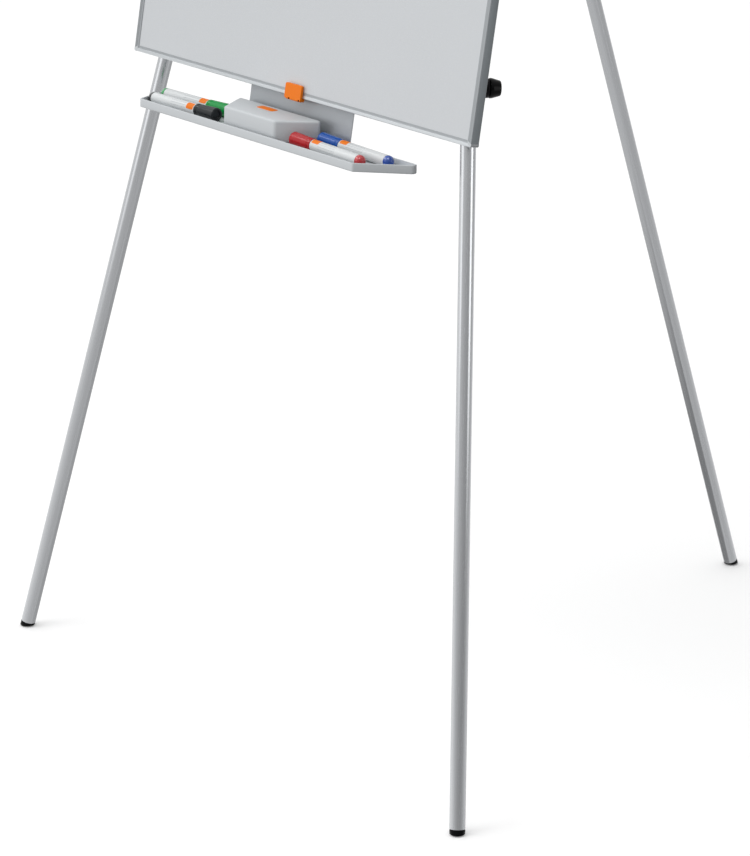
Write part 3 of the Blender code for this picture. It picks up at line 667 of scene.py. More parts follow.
def tube_clip(name, leg, along):
    """Pressed saddle over a front upper tube, with two flanges screwed to the board's back."""
    inner = UPPER_R + GAP
    outer = inner + CLIP_WALL
    base = BOARD_REAR + GAP
    shelf = base + CLIP_WALL
    reach = outer + CLIP_FLANGE
    outline = [(-reach, base, 0.3 * MM), (-inner, base, 1.5 * MM)]
    outline += arc((0, 0), inner, math.pi, 0, 28)
    outline += [(inner, base, 1.5 * MM), (reach, base, 0.3 * MM), (reach, shelf, 0.3 * MM), (outer, shelf, 2 * MM)]
    outline += arc((0, 0), outer, 0, math.pi, 28)
    outline += [(-outer, shelf, 2 * MM), (-reach, shelf, 0.3 * MM)]
    solid = prism(eased(outline), along - CLIP_HALF, along + CLIP_HALF)
    corners = [(-reach, along - CLIP_HALF), (reach, along - CLIP_HALF),
               (reach, along + CLIP_HALF), (-reach, along + CLIP_HALF)]
    face = plate(rounded(corners, [4 * MM] * 4), base - 1 * MM, outer + 1 * MM)
    solid = combined(solid, face, "INTERSECT")
    add_piece(f"{name}_detailed", solid, leg, "board", "zinc_steel", (name,), soften=0.3 * MM)
    middle = outer + CLIP_FLANGE * 0.55
    places = [(x, shelf, along) for x in (-middle, middle)]
    screws(f"{name}_screws", places, 3.6 * MM, leg, "board", BACKWARD)


def rear_leg():
    leg = LEGS["rear"]
    height = (leg.inverted() @ Vector(joints["rear_leg_fold"]["pos_m"])).z
    top = height - HEAD_R - 2.5 * MM
    telescopic_leg("rear", REAR_JOINT, top, 0.0, "rear_upper_leg")
    across = Matrix.Translation((0, 0, height)) @ Matrix.Rotation(math.pi / 2, 4, "Y")
    barrel = [(PIN_R + 2 * MM, -HEAD_HALF), (HEAD_R, -HEAD_HALF, 1.4 * MM),
              (HEAD_R, HEAD_HALF, 1.4 * MM), (PIN_R + 2 * MM, HEAD_HALF)]
    stem = turned([(UPPER_BORE - GAP, top - 2 * PLUG_DEPTH, 1 * MM), (UPPER_BORE - GAP, height - 4 * MM)])
    solid = combined(moved(turned(barrel), across), stem, "UNION")
    hole = turned([(PIN_R + GAP, -2 * HEAD_HALF), (PIN_R + GAP, 2 * HEAD_HALF)])
    solid = combined(solid, moved(hole, across), "DIFFERENCE")
    add_piece("rear_leg_head_detailed", solid, leg, "rear_upper_leg", "black_plastic", ("rear_leg_head",))


# Head


def head():
    middle = UPPER_R + GAP + CROSSBAR_DEPTH / 2
    half_w = CROSSBAR_DEPTH / 2
    half_s = CROSSBAR_HEIGHT / 2
    corners = [(-half_w, -half_s), (half_w, -half_s), (half_w, half_s), (-half_w, half_s)]
    place = PANEL @ Matrix.Translation((0, middle, PIVOT_S))
    rings = []
    levels = ((0.4 * MM, -CROSSBAR_HALF), (0.0, -CROSSBAR_HALF + 0.4 * MM), (0.0, CROSSBAR_HALF - 0.4 * MM),
              (0.4 * MM, CROSSBAR_HALF), (CROSSBAR_WALL, CROSSBAR_HALF), (CROSSBAR_WALL, -CROSSBAR_HALF))
    for inset, x in levels:
        outline = rounded(shrunk(corners, inset), [3.2 * MM - inset] * 4)
        rings.append([Vector((x, w, s)) for w, s in outline])
    add_piece("head_crossbar_detailed", skin(rings, closed=True), place, "board", "grey_steel",
              ("head_crossbar",))
    plugs = []
    for sign in (-1, 1):
        rings = []
        for inset, out in ((CROSSBAR_WALL, -12 * MM), (CROSSBAR_WALL, 0.1 * MM), (0.2 * MM, 0.1 * MM),
                           (0.2 * MM, 1.2 * MM), (0.9 * MM, 2.2 * MM), (2.5 * MM, 2.6 * MM)):
            outline = rounded(shrunk(corners, inset), [max(3.2 * MM - inset, 0.5 * MM)] * 4)
            rings.append([Vector((sign * (CROSSBAR_HALF + out), w, s)) for w, s in outline])
        plugs.append(skin(rings))
    add_piece("head_crossbar_end_plugs", gathered(plugs), place, "board", "black_plastic")
    leg_x = (PANEL.inverted() @ (LEGS["right"] @ Vector((0, 0, FRONT_TOP - 20 * MM)))).x
    places = [(x, half_w, 0) for x in (-leg_x, -30 * MM, 30 * MM, leg_x)]
    screws("head_crossbar_bolts", places, 5 * MM, place, "board", BACKWARD)
    inner = HEAD_HALF + 2 * GAP
    outer = inner + CHEEK
    base = UPPER_R + CROSSBAR_DEPTH + 2 * GAP
    tip = PIVOT_W + HEAD_R - 2 * MM
    outline = eased([(-outer, base, 3 * MM), (outer, base, 3 * MM), (outer, tip), (inner, tip),
                     (inner, base + CHEEK, 1.5 * MM), (-inner, base + CHEEK, 1.5 * MM), (-inner, tip),
                     (-outer, tip)])
    cheeks = prism(outline, PIVOT_S - half_s, PIVOT_S + half_s)
    side_view = rounded([(base - 1 * MM, PIVOT_S - half_s - 1 * MM), (tip, PIVOT_S - half_s - 1 * MM),
                         (tip, PIVOT_S + half_s + 1 * MM), (base - 1 * MM, PIVOT_S + half_s + 1 * MM)],
                        [0.5 * MM, 11 * MM, 11 * MM, 0.5 * MM], 12)
    solid = combined(cheeks, bar(side_view, -outer - 1 * MM, outer + 1 * MM), "INTERSECT")
    across = Matrix.Translation((0, PIVOT_W, PIVOT_S)) @ Matrix.Rotation(math.pi / 2, 4, "Y")
    hole = turned([(PIN_R + GAP, -2 * outer), (PIN_R + GAP, 2 * outer)])
    solid = combined(solid, moved(hole, across), "DIFFERENCE")
    add_piece("rear_clevis_detailed", solid, PANEL, "board", "zinc_steel", ("rear_clevis",), soften=0.3 * MM)
    end = outer + GAP
    profile = [(1 * MM, -end - PIN_HEAD_H), (PIN_HEAD_R, -end - PIN_HEAD_H, 1.2 * MM), (PIN_HEAD_R, -end, 0.2 * MM),
               (PIN_R, -end), (PIN_R, end), (PIN_HEAD_R, end, 0.2 * MM),
               (PIN_HEAD_R, end + PIN_HEAD_H, 1.2 * MM), (1 * MM, end + PIN_HEAD_H)]
    add_piece("rear_pivot_pin_detailed", turned(profile), PANEL @ across, "board", "zinc_steel",
              ("rear_pivot_pin",))


# Board


def rail(name, length, location, turn, material):
    """Channel-section rail with a stepped front lip and mitred ends."""
    wall = RAIL_WALL
    depth = BOARD_THICK
    outline = eased([
        (0, 0, 1.1 * MM),
        (RAIL_LAND, 0, 0.25 * MM),
        (RAIL_LAND + 0.7 * MM, 0.55 * MM, 0.2 * MM),
        (RAIL, 0.75 * MM, 0.2 * MM),
        (RAIL, wall),
        (wall, wall),
        (wall, depth - wall),
        (RAIL, depth - wall),
        (RAIL, depth, 0.4 * MM),
        (0, depth, 1.1 * MM),
    ])
    rings = []
    for sign in (-1, 1):
        ends = [length / 2 - MITRE - 0.05 * MM - (RAIL - MITRE) * u / RAIL for u, v in outline]
        rings.append([Vector((u, v, sign * end)) for (u, v), end in zip(outline, ends)])
    place = PANEL @ Matrix.Translation(location) @ Matrix.Rotation(turn, 4, "Y")
    piece = add_piece(f"{name}_detailed", skin(rings), place, "board", material, (name,))
    piece.data.materials.append(finish("rail_shade"))
    piece.data.materials.append(finish("rail_side_painted_shade"))
    for face in piece.data.polygons:
        if len(face.vertices) > 4:
            continue
        # Painted shade: the inner part of the front lip takes the darker second finish.
        if face.center.x > RAIL_LAND and face.center.y < wall:
            face.material_index = 1
        # Painted shade: the outer side face takes the darkest, third finish.
        elif face.center.x < 0.05 * MM:
            face.material_index = 2


def corner_cap(name, sign_x, sign_s):
    """Kite-shaped cap between two mitred rails, with a rounded outer corner."""
    edge = RAIL - 0.05 * MM
    outline = rounded([(0, 0), (MITRE, 0), (edge, edge), (0, MITRE)], [2.6 * MM, 0.1 * MM, 0.1 * MM, 0.1 * MM], 6)
    x0 = sign_x * BOARD_W / 2
    s0 = BOARD_BOTTOM + BOARD_H / 2 + sign_s * BOARD_H / 2
    points = [(x0 - sign_x * a, s0 - sign_s * b) for a, b in outline]
    solid = plate(points, BOARD_FRONT, BOARD_REAR)
    depth = BOARD_THICK - 2 * RAIL_WALL
    size = (2 * RAIL, depth, 2 * RAIL)
    inset = RAIL_WALL + RAIL
    centre = (x0 - sign_x * inset, BOARD_FRONT + BOARD_THICK / 2, s0 - sign_s * inset)
    solid = combined(solid, box(size, centre), "DIFFERENCE")
    add_piece(f"{name}_detailed", solid, PANEL, "board", "light_grey_plastic", (name,), soften=0.35 * MM)


def board():
    for node, material in (("board_face", "board_white"), ("board_core", "core_board"),
                           ("board_back_sheet", "zinc_steel")):
        mesh = frame["nodes"][node].data
        mesh.materials.clear()
        mesh.materials.append(finish(material))
    middle = BOARD_BOTTOM + BOARD_H / 2
    edge = BOARD_W / 2
    # Painted shade: the upright rails take a darker copy of the rail aluminium.
    rail("left_rail", BOARD_H, (-edge, BOARD_FRONT, middle), 0, "rail_upright_painted_shade")
    rail("right_rail", BOARD_H, (edge, BOARD_FRONT, middle), math.pi, "rail_upright_painted_shade")
    rail("bottom_rail", BOARD_W, (0, BOARD_FRONT, BOARD_BOTTOM), -math.pi / 2, "rail_aluminium")
    rail("top_rail", BOARD_W, (0, BOARD_FRONT, BOARD_TOP), math.pi / 2, "rail_aluminium")
    for side, sign_x in (("left", -1), ("right", 1)):
        for place, sign_s in (("bottom", -1), ("top", 1)):
            corner_cap(f"{place}_{side}_corner", sign_x, sign_s)


# Pad holder


def pad_holder():
    back = BOARD_FRONT - GAP
    face = back - HOOK_RAIL_DEPTH
    s = BOARD_TOP - HOOK_RAIL_DROP
    half = HOOK_RAIL_H / 2
    outline = eased([
        (back, s - half, 0.4 * MM), (back, s + half, 0.4 * MM), (face, s + half, 1.2 * MM),
        (face, s + 2.2 * MM, 0.3 * MM), (face + 1.4 * MM, s + 1.6 * MM, 0.3 * MM),
        (face + 1.4 * MM, s - 1.6 * MM, 0.3 * MM), (face, s - 2.2 * MM, 0.3 * MM), (face, s - half, 1.2 * MM),
    ])
    add_piece("hook_rail_detailed", bar(outline, -HOOK_RAIL_HALF, HOOK_RAIL_HALF), PANEL, "board",
              "rail_aluminium_across", ("hook_rail",), soften=0.3 * MM)
    places = [(x, face + 1.4 * MM, s) for x in (-305 * MM, -110 * MM, 0, 110 * MM, 305 * MM)]
    screws("hook_rail_screws", places, 1.4 * MM, PANEL, "board", FORWARD)
    for side, sign in (("left", -1), ("right", 1)):
        pad_hook(side, sign * HOOK_X, face - GAP, s)
    axis_w = BOARD_FRONT - CLAMP_STAND_OFF
    axis_s = BOARD_TOP - CLAMP_DROP
    clamp(axis_w, axis_s)
    for side, sign in (("left", -1), ("right", 1)):
        clamp_bracket(side, sign, axis_w, axis_s)


def pad_hook(side, x, back, s):
    """Rounded slider with an upturned peg."""
    width, depth, height = HOOK_SIZE
    outline = rounded([(x - width / 2, s - height / 2), (x + width / 2, s - height / 2),
                       (x + width / 2, s + height / 2), (x - width / 2, s + height / 2)], [3 * MM] * 4)
    solid = plate(outline, back, back - depth)
    root = back - depth + 0.5 * MM
    peg = eased([(root, s - 3 * MM), (root, s + 3 * MM), (root - 13 * MM, s + 3 * MM, 1.5 * MM),
                 (root - 14.5 * MM, s + 7 * MM, 1 * MM), (root - 18.4 * MM, s + 7 * MM, 1.6 * MM),
                 (root - 18.4 * MM, s - 3 * MM, 3 * MM)])
    solid = combined(solid, bar(peg, x - 3 * MM, x + 3 * MM), "UNION")
    name = f"{side}_pad_hook"
    add_piece(f"{name}_detailed", solid, PANEL, name, "black_plastic", (name,), soften=0.6 * MM)


def clamp(axis_w, axis_s):
    """Spring-clamp bar: barrel with a ribbed blade below it, on a through pin."""
    half = CLAMP_BLADE_HALF
    low = axis_s - CLAMP_BLADE
    rise = math.asin(half / CLAMP_BARREL_R)
    outline = eased([(axis_w - half, axis_s - 9 * MM), (axis_w - half, low + 8 * MM, 0.5 * MM),
                     (axis_w - half - 0.8 * MM, low + 6 * MM, 0.5 * MM), (axis_w - half - 0.8 * MM, low, 0.8 * MM),
                     (axis_w + half, low, 0.8 * MM), (axis_w + half, axis_s - 9 * MM)])
    start = -math.pi / 2 + rise
    outline += arc((axis_w, axis_s), CLAMP_BARREL_R, start, start + math.tau - 2 * rise, 40)
    across = Matrix.Translation((0, axis_w, axis_s)) @ Matrix.Rotation(math.pi / 2, 4, "Y")
    bore = turned([(CLAMP_PIN_R + GAP, -2 * CLAMP_HALF), (CLAMP_PIN_R + GAP, 2 * CLAMP_HALF)])
    solid = combined(bar(outline, -CLAMP_HALF, CLAMP_HALF), moved(bore, across), "DIFFERENCE")
    add_piece("clamp_bar_detailed", solid, PANEL, "clamp_bar", "rail_aluminium_across", ("clamp_bar",),
              soften=0.3 * MM)
    end = CLAMP_HALF + BRACKET_WIDTH
    pin = [(CLAMP_PIN_R, -end, 0.6 * MM), (CLAMP_PIN_R, end, 0.6 * MM)]
    profile = [(0.5 * MM, -end)] + pin + [(0.5 * MM, end)]
    add_piece("clamp_pin_detailed", turned(profile), PANEL @ across, "board", "zinc_steel", ("clamp_pin",))


def clamp_bracket(side, sign, axis_w, axis_s):
    back = BOARD_FRONT - GAP
    front = axis_w - CLAMP_BARREL_R
    low = axis_s - BRACKET_HEIGHT / 2
    high = axis_s + BRACKET_HEIGHT / 2
    start = sign * (CLAMP_HALF + 2 * GAP)
    end = start + sign * BRACKET_WIDTH
    outline = rounded([(front, low), (back, low), (back, high), (front, high)],
                      [5.2 * MM, 0.6 * MM, 0.6 * MM, 5.2 * MM])
    solid = bar(outline, start, end)
    across = Matrix.Translation((0, axis_w, axis_s)) @ Matrix.Rotation(math.pi / 2, 4, "Y")
    hole = turned([(CLAMP_PIN_R + GAP, -2 * CLAMP_HALF), (CLAMP_PIN_R + GAP, 2 * CLAMP_HALF)])
    solid = combined(solid, moved(hole, across), "DIFFERENCE")
    name = f"{side}_clamp_bracket"
    add_piece(f"{name}_detailed", solid, PANEL, "board", "black_plastic", (name,), soften=0.7 * MM)


# Tray


def tray_plate():
    """Bent steel plate: its upright part is screwed to the board's back, its shelf carries the tray."""
    back = BOARD_REAR + GAP
    knee = tray_to_panel(-GAP, -GAP)
    low = tray_to_panel(-GAP, -GAP - PLATE_THICK)
    tip_top = tray_to_panel(PLATE_SHELF, -GAP)
    tip_low = tray_to_panel(PLATE_SHELF, -GAP - PLATE_THICK)
    top = BOARD_BOTTOM + PLATE_RISE
    outline = eased([
        (back, top, 0.4 * MM), (back, knee[1], 0.5 * MM), (*tip_top, 0.4 * MM), (*tip_low, 0.4 * MM),
        (back + PLATE_THICK, low[1], 2.4 * MM), (back + PLATE_THICK, top, 0.4 * MM),
    ])
    solid = bar(outline, -PLATE_HALF, PLATE_HALF)
    add_piece("tray_plate_detailed", solid, PANEL, "board", "grey_steel", ("tray_plate",), soften=0.25 * MM)
    rows = (BOARD_BOTTOM + 14 * MM, BOARD_BOTTOM + 46 * MM)
    places = [(x, back + PLATE_THICK, s) for x in (-88 * MM, 88 * MM) for s in rows]
    screws("tray_plate_screws", places, 4 * MM, PANEL, "board", BACKWARD)
    below = -GAP - PLATE_THICK
    heads = [(x, -20 * MM, below) for x in (-80 * MM, 0, 80 * MM)]
    screws("tray_screws", heads, 4 * MM, TRAY, "board", Matrix.Rotation(math.pi, 4, "X"))


def tray_and_eraser():
    corners = [(TRAY_FRONT[0], -TRAY_DEPTH), (TRAY_FRONT[1], -TRAY_DEPTH), (TRAY_BACK[1], -TRAY_SIDE),
               (TRAY_BACK[1], 0), (TRAY_BACK[0], 0), (TRAY_BACK[0], -TRAY_SIDE)]
    wall = TRAY_WALL_H
    floor = TRAY_FLOOR
    levels = [(1.7, 0), (0.9, 0.12), (0.35, 0.5), (0.08, 1.1), (0, 2)]
    levels += [(0, wall / MM - 0.7), (0.12, wall / MM - 0.25), (0.4, wall / MM)]
    levels += [(1.9, wall / MM), (2.15, wall / MM - 0.2), (2.25, wall / MM - 0.6)]
    levels += [(2.6, floor / MM + 1.6), (2.8, floor / MM + 0.7), (3.3, floor / MM + 0.15), (4.1, floor / MM)]
    rings = layered(corners, [5.5 * MM] * 6, [(a * MM, b * MM) for a, b in levels])
    add_piece("pen_tray_detailed", skin(rings), TRAY, "board", "light_grey_plastic", ("pen_tray",))

    corners = [(ERASER_FRONT[0], -ERASER_DEPTH), (ERASER_FRONT[1], -ERASER_DEPTH),
               (ERASER_BACK[1], 0), (ERASER_BACK[0], 0)]
    radii = [4.5 * MM, 7.5 * MM, 3.8 * MM, 3.8 * MM]
    felt_base = floor + GAP
    base = felt_base + ERASER_FELT_H + GAP
    top = base + ERASER_BODY_H
    fillet = 3.2 * MM
    levels = [(0.8 * MM, base), (0.25 * MM, base + 0.2 * MM), (0.0, base + 0.8 * MM)]
    for angle in (0, 18, 36, 54, 72, 90):
        a = math.radians(angle)
        levels.append((fillet * (1 - math.cos(a)), top - fillet * (1 - math.sin(a))))
    rings = layered(corners, radii, levels, -ERASER_OFFSET)
    add_piece("eraser_body_detailed", skin(rings), TRAY, "eraser", "light_grey_plastic", ("eraser_body",))
    levels = [(1.6 * MM, felt_base), (1.1 * MM, felt_base + 0.7 * MM)]
    levels += [(1.0 * MM, felt_base + ERASER_FELT_H - 0.6 * MM), (1.4 * MM, felt_base + ERASER_FELT_H)]
    rings = layered(corners, radii, levels, -ERASER_OFFSET)
    add_piece("eraser_felt_detailed", skin(rings), TRAY, "eraser", "grey_felt", ("eraser_felt",))
    half_x, half_y = 16.5 * MM, 6 * MM
    middle = Matrix.Translation((-35 * MM, -22 * MM, top))
    corners = [(-half_x, -half_y), (half_x, -half_y), (half_x, half_y), (-half_x, half_y)]
    levels = [(0.0, -0.3 * MM), (0.0, 0.25 * MM), (0.2 * MM, 0.45 * MM), (0.6 * MM, 0.5 * MM)]
    rings = layered(corners, [3 * MM] * 4, levels)
    add_piece("eraser_badge", skin(rings), TRAY @ middle, "eraser", "orange_plastic")


def marker(colour, x, forward, yaw, cap_right, badge_turn):
    """Board marker: domed end plug, printed barrel with neck and nib, hollow ribbed cap, plain badge."""
    half = MARKER_HALF
    seam = half - CAP_LENGTH
    turn = math.pi / 2 - MARKER_TILT
    if not cap_right:
        turn = -turn
    rest = Matrix.Translation((x, -forward, TRAY_FLOOR + GAP + MARKER_HEIGHT))
    place = TRAY @ rest @ Matrix.Rotation(yaw, 4, "Z") @ Matrix.Rotation(turn, 4, "Y")
    body = f"{colour}_marker"
    ink = f"ink_{colour}"
    dome = 0.9 * BARREL_R
    profile = []
    for i in range(1, 13):
        a = math.pi / 2 * i / 12
        profile.append((BARREL_R * math.sin(a), dome * (1 - math.cos(a)) - half))
    profile += [(BARREL_R, PLUG_LENGTH - half, 0.15 * MM), (NECK_R, PLUG_LENGTH - half)]
    plug = f"{colour}_marker_plug"
    add_piece(f"{plug}_detailed", turned(profile), place, body, f"{ink}_clear", (plug,))
    end = seam + NECK_LENGTH
    profile = [
        (NECK_R, PLUG_LENGTH + GAP - half),
        (BARREL_R, PLUG_LENGTH + GAP - half, 0.3 * MM),
        (BARREL_R, seam, 0.3 * MM),
        (NECK_R, seam, 0.1 * MM),
        (NECK_R, end - 6 * MM, 1 * MM),
        (3.4 * MM, end, 1 * MM),
        (1.9 * MM, end + 0.4 * MM),
        (1.9 * MM, end + 2.8 * MM, 1.6 * MM),
        (0.4 * MM, end + 3.8 * MM),
    ]
    barrel = add_piece(f"{colour}_marker_barrel_detailed", turned(profile), place, body, "marker_white",
                       (f"{colour}_marker_barrel",))
    barrel.data.materials.append(finish("marker_nib"))
    for face in barrel.data.polygons:
        if face.center.z > end + 0.2 * MM:
            face.material_index = 1
    wall_end = half - 8 * MM
    profile = [(NECK_R + GAP, seam + GAP, 0.2 * MM), (CAP_R, seam + GAP, 0.5 * MM)]
    for i in range(3):
        z = seam + (3.2 + 1.6 * i) * MM
        radius = CAP_R + (z - seam) / CAP_LENGTH * (CAP_END_R - CAP_R)
        profile += [(radius, z), (radius - 0.35 * MM, z + 0.4 * MM), (radius, z + 0.8 * MM)]
    profile += [
        (CAP_END_R, half - 0.6 * MM, 1.2 * MM),
        (CAP_END_R - 1.6 * MM, half, 0.6 * MM),
        (CAP_END_R - 3.1 * MM, half - 0.3 * MM, 0.4 * MM),
        (CAP_END_R - 3.4 * MM, half - 3.2 * MM, 0.4 * MM),
        (0.6 * MM, half - 3.2 * MM),
    ]
    inside = [(0.6 * MM, wall_end), (NECK_R + GAP, wall_end, 1 * MM)]
    shell = turned(inside + profile, closed=False)
    add_piece(f"{colour}_marker_cap_detailed", shell, place, body, ink, (f"{colour}_marker_cap",))
    badge(colour, place, body, seam, badge_turn)


def badge(colour, place, body, seam, badge_turn):
    """Plain rounded patch that lies on the barrel next to the cap."""
    half_u, half_v = 5 * MM, 7.5 * MM
    corners = [(-half_u, -half_v), (half_u, -half_v), (half_u, half_v), (-half_u, half_v)]
    outline = divided(rounded(corners, [2.2 * MM] * 4, 4), 0.7 * MM)
    centre = seam - 1.5 * MM - half_v
    rings = []
    for scale, lift in ((0.02, 0.12), (0.35, 0.12), (0.7, 0.12), (0.97, 0.12), (1.0, 0.08), (1.0, -0.1),
                        (0.7, -0.1), (0.35, -0.1), (0.02, -0.1)):
        radius = BARREL_R + lift * MM
        points = []
        for u, v in outline:
            a = badge_turn + u * scale / BARREL_R
            points.append(Vector((radius * math.cos(a), radius * math.sin(a), centre + v * scale)))
        rings.append(points)
    add_piece(f"{colour}_marker_badge", skin(rings), place, body, "orange_plastic")


def rail_clip():
    """Orange clip over the middle of the bottom rail, hooked under its edge."""
    back = BOARD_FRONT - GAP
    face = back - CLIP_THICK
    low = BOARD_BOTTOM - CLIP_BELOW
    high = BOARD_BOTTOM + CLIP_ABOVE
    ledge = BOARD_BOTTOM - GAP
    side_view = eased([
        (face, low, 2.4 * MM), (back + CLIP_HOOK, low, 1.2 * MM), (back + CLIP_HOOK, ledge, 0.4 * MM),
        (back, ledge, 0.2 * MM), (back, high, 0.4 * MM), (face, high, 1.2 * MM),
    ])
    left, right = CLIP_X
    solid = bar(side_view, left, right)
    corners = [(left, low + 2.5 * MM), (left + 5 * MM, low), (right, low), (right, high), (left, high)]
    front_view = rounded(corners, [2 * MM, 2 * MM, 2.6 * MM, 3 * MM, 3 * MM])
    solid = combined(solid, plate(front_view, face - 2 * MM, back + CLIP_HOOK + 2 * MM), "INTERSECT")
    painted_notch_shade = []
    for x in (left + 9.5 * MM, right - 3.4 * MM):
        slot = box((3.2 * MM, 3.2 * MM, 6 * MM), (x, face + 1 * MM, low))
        solid = combined(solid, slot, "DIFFERENCE")
        # A black block at the back of each notch is painted shade inside it.
        painted_notch_shade.append(box((3 * MM, 1.6 * MM, 2.2 * MM), (x, face + 1.8 * MM, low + 1.8 * MM)))
    add_piece("rail_clip_detailed", solid, PANEL, "board", "orange_plastic", ("rail_clip",), soften=0.3 * MM)
    add_piece("rail_clip_inserts", gathered(painted_notch_shade), PANEL, "board", "black_plastic", soften=0.3 * MM)


# Floor, light and camera


def stage():
    """Plain pale floor."""
    data = bmesh.new()
    bmesh.ops.create_grid(data, x_segments=1, y_segments=1, size=60.0)
    mesh = bpy.data.meshes.new("floor")
    data.to_mesh(mesh)
    data.free()
    floor = bpy.data.objects.new("floor", mesh)
    bpy.context.scene.collection.objects.link(floor)
    floor.location.z = -0.5 * MM
    material = make_material("pale_floor", (0.93, 0.93, 0.93, 1.0), 0.9, grain=(40, 40, 40), relief=0.0,
                             mottle=0.005)
    shader = material.node_tree.nodes["Principled BSDF"]
    shader.inputs["Specular IOR Level"].default_value = 0.0
    shader.inputs["Emission Color"].default_value = (1, 1, 1, 1)
    shader.inputs["Emission Strength"].default_value = 0.12
    mesh.materials.append(material)
    floor.visible_glossy = False
    floor.visible_diffuse = False


def dot(tree, direction, vector):
    return add_node(tree, "VectorMath", {0: direction, 1: vector}, operation="DOT_PRODUCT").outputs["Value"]


def studio():
    """Soft light that falls mostly from above, the front and the left, and a striped surround that
    only shiny surfaces mirror."""
    world = bpy.data.worlds.new("studio")
    world.use_nodes = True
    bpy.context.scene.world = world
    tree = world.node_tree
    tree.nodes.clear()
    direction = add_node(tree, "TexCoord").outputs["Generated"]
    level = 0.6
    soft = maths(tree, "ADD", dot(tree, direction, (-0.44, -0.26, 0.53)), level)
    soft = maths(tree, "MAXIMUM", soft, 0.02)
    towards_camera = Vector((0.745, -0.667, 0.0))
    left_of_camera = Vector((-0.667, -0.745, 0.0))
    front = dot(tree, direction, towards_camera)
    left = dot(tree, direction, left_of_camera)
    above = dot(tree, direction, (0, 0, 1))
    glow = maths(tree, "MULTIPLY", front, -0.22)
    glow = maths(tree, "ADD", glow, maths(tree, "MULTIPLY", left, 0.16))
    glow = maths(tree, "ADD", glow, maths(tree, "MULTIPLY", maths(tree, "MAXIMUM", above, 0.0), 0.55))
    low = add_node(tree, "MapRange", {0: above, 1: 0.0, 2: -0.25, 3: 0.58, 4: 0.82}).outputs[0]
    mirrored = maths(tree, "ADD", glow, low)
    shiny = add_node(tree, "LightPath").outputs["Is Glossy Ray"]
    tint = blended(tree, shiny, soft, mirrored)
    background = add_node(tree, "Background", {"Color": tint, "Strength": 1.0})
    output = add_node(tree, "OutputWorld")
    tree.links.new(background.outputs[0], output.inputs["Surface"])

    card("right_card", (1.42, 0.16, 0.85), (0.35, -0.4, 0.85), 0.55, 1.3, 2.1)
    card("left_card", (-0.44, -1.38, 0.85), (0.0, -0.4, 0.85), 0.9, 1.3, 1.5)
    card("front_highlight", (1.0, -1.2, 3.2), (0.1, -0.5, 0.8), 0.7, 0.7, 12, upright=False)
    card("side_highlight", (-2.1, -1.4, 2.7), (0.1, -0.5, 0.8), 0.5, 0.5, 8, upright=False)
    flag("rear_flag", LEGS["rear"], (-120 * MM, -220 * MM, 0), 0.9, 0.3, 0.68)
    flag("left_flag", LEGS["left"], (0, 250 * MM, 0), 0.6, 0.5, 0.5)
    light = bpy.data.lights.new("key", "AREA")
    light.energy = 40
    light.size = 2.5
    key = bpy.data.objects.new("key", light)
    bpy.context.scene.collection.objects.link(key)
    key.location = (-1.5, -3.5, 4.5)
    aim = Vector((0, -0.2, 0.9)) - key.location
    key.rotation_euler = aim.to_track_quat("-Z", "Y").to_euler()


def panel(name, centre, target, width, height):
    """A rectangle that faces its target and that only shiny surfaces mirror. Returns its node tree."""
    data = bmesh.new()
    bmesh.ops.create_grid(data, x_segments=1, y_segments=1, size=0.5)
    mesh = bpy.data.meshes.new(name)
    data.to_mesh(mesh)
    data.free()
    sheet = bpy.data.objects.new(name, mesh)
    bpy.context.scene.collection.objects.link(sheet)
    sheet.scale = (width, height, 1.0)
    sheet.location = centre
    sheet.rotation_euler = (Vector(target) - Vector(centre)).to_track_quat("Z", "Y").to_euler()
    sheet.visible_camera = False
    sheet.visible_diffuse = False
    sheet.visible_shadow = False
    material = bpy.data.materials.new(name)
    material.use_nodes = True
    material.node_tree.nodes.clear()
    mesh.materials.append(material)
    return material.node_tree


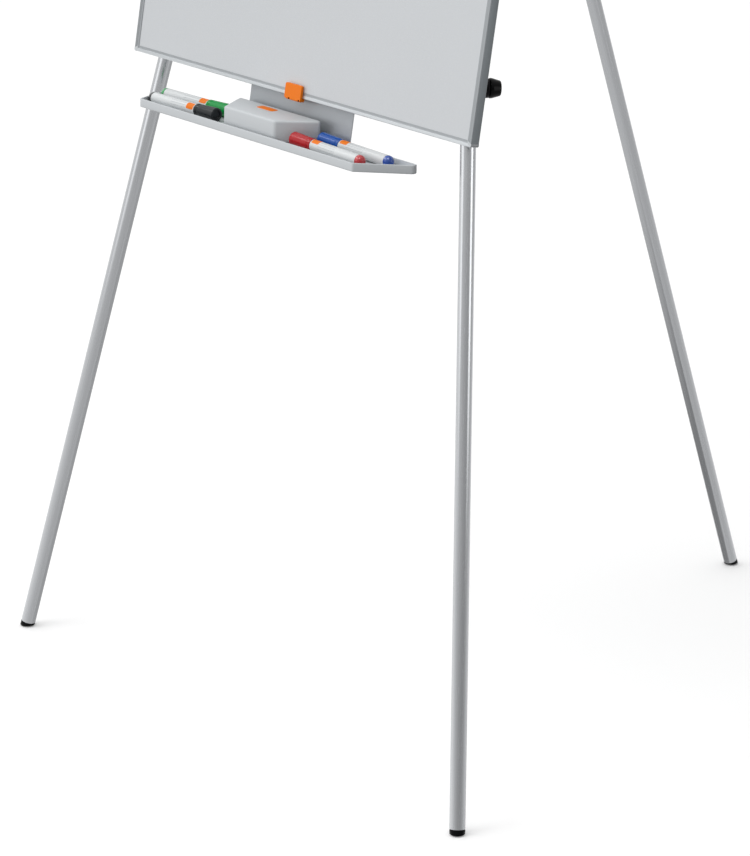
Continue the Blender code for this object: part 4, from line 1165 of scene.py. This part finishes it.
def flag(name, leg, offset, width, lower_glow, upper_glow):
    """Dim panel beside a leg, which darkens one edge of its tubes, most of all near the floor."""
    middle = Vector((0, 0, 450 * MM))
    tree = panel(name, leg @ (middle + Vector(offset)), leg @ middle, width, 1.7)
    place = add_node(tree, "TexCoord").outputs["Generated"]
    level = add_node(tree, "SeparateXYZ", {0: place}).outputs[1]
    glow = add_node(tree, "MapRange", {0: level, 1: 0.28, 2: 0.56, 3: lower_glow, 4: upper_glow}).outputs[0]
    surface = add_node(tree, "Emission", {"Strength": glow}).outputs[0]
    tree.links.new(surface, add_node(tree, "OutputMaterial").inputs["Surface"])


def card(name, centre, target, width, height, strength, upright=True):
    """Glowing panel. An upright one shines along a beam towards its target and fades out towards its
    lower edge."""
    tree = panel(name, centre, target, width, height)
    surface = add_node(tree, "Emission", {"Strength": strength}).outputs[0]
    if upright:
        place = add_node(tree, "TexCoord").outputs["Generated"]
        level = add_node(tree, "SeparateXYZ", {0: place}).outputs[1]
        fade = {0: level, 1: 0.06, 2: 0.5, 3: 0.0, 4: 1.0}
        high = add_node(tree, "MapRange", fade, interpolation_type="SMOOTHSTEP").outputs[0]
        geometry = add_node(tree, "NewGeometry").outputs
        facing = maths(tree, "ABSOLUTE", dot(tree, geometry["Incoming"], geometry["Normal"]))
        beam = add_node(tree, "MapRange", {0: facing, 1: 0.86, 2: 0.95, 3: 0.0, 4: 1.0}).outputs[0]
        visible = maths(tree, "MULTIPLY", high, beam)
        clear = add_node(tree, "BsdfTransparent").outputs[0]
        surface = add_node(tree, "MixShader", {0: visible, 1: clear, 2: surface}).outputs[0]
    tree.links.new(surface, add_node(tree, "OutputMaterial").inputs["Surface"])


def camera():
    lens = bpy.data.cameras.new("camera")
    lens.lens = 162.97
    lens.sensor_width = 36
    lens.clip_end = 200
    viewer = bpy.data.objects.new("camera", lens)
    bpy.context.scene.collection.objects.link(viewer)
    viewer.location = (3.85546, -3.44637, 2.05301)
    viewer.rotation_euler = (math.radians(90 - 18.553), 0, math.radians(50.079))
    bpy.context.scene.camera = viewer
    bpy.context.scene.view_settings.view_transform = "Standard"


front_leg("left", -1)
front_leg("right", 1)
rear_leg()
head()
board()
pad_holder()
tray_plate()
tray_and_eraser()
marker("black", -189.7 * MM, 42 * MM, math.radians(0.3), True, math.radians(-130))
marker("green", -200.4 * MM, 12.8 * MM, 0.0, True, math.radians(-150))
marker("red", 119.6 * MM, 44 * MM, math.radians(-1.5), False, math.radians(-15))
marker("blue", 141.4 * MM, 15 * MM, math.radians(-1.5), False, math.radians(-15))
rail_clip()
stage()
studio()
camera()
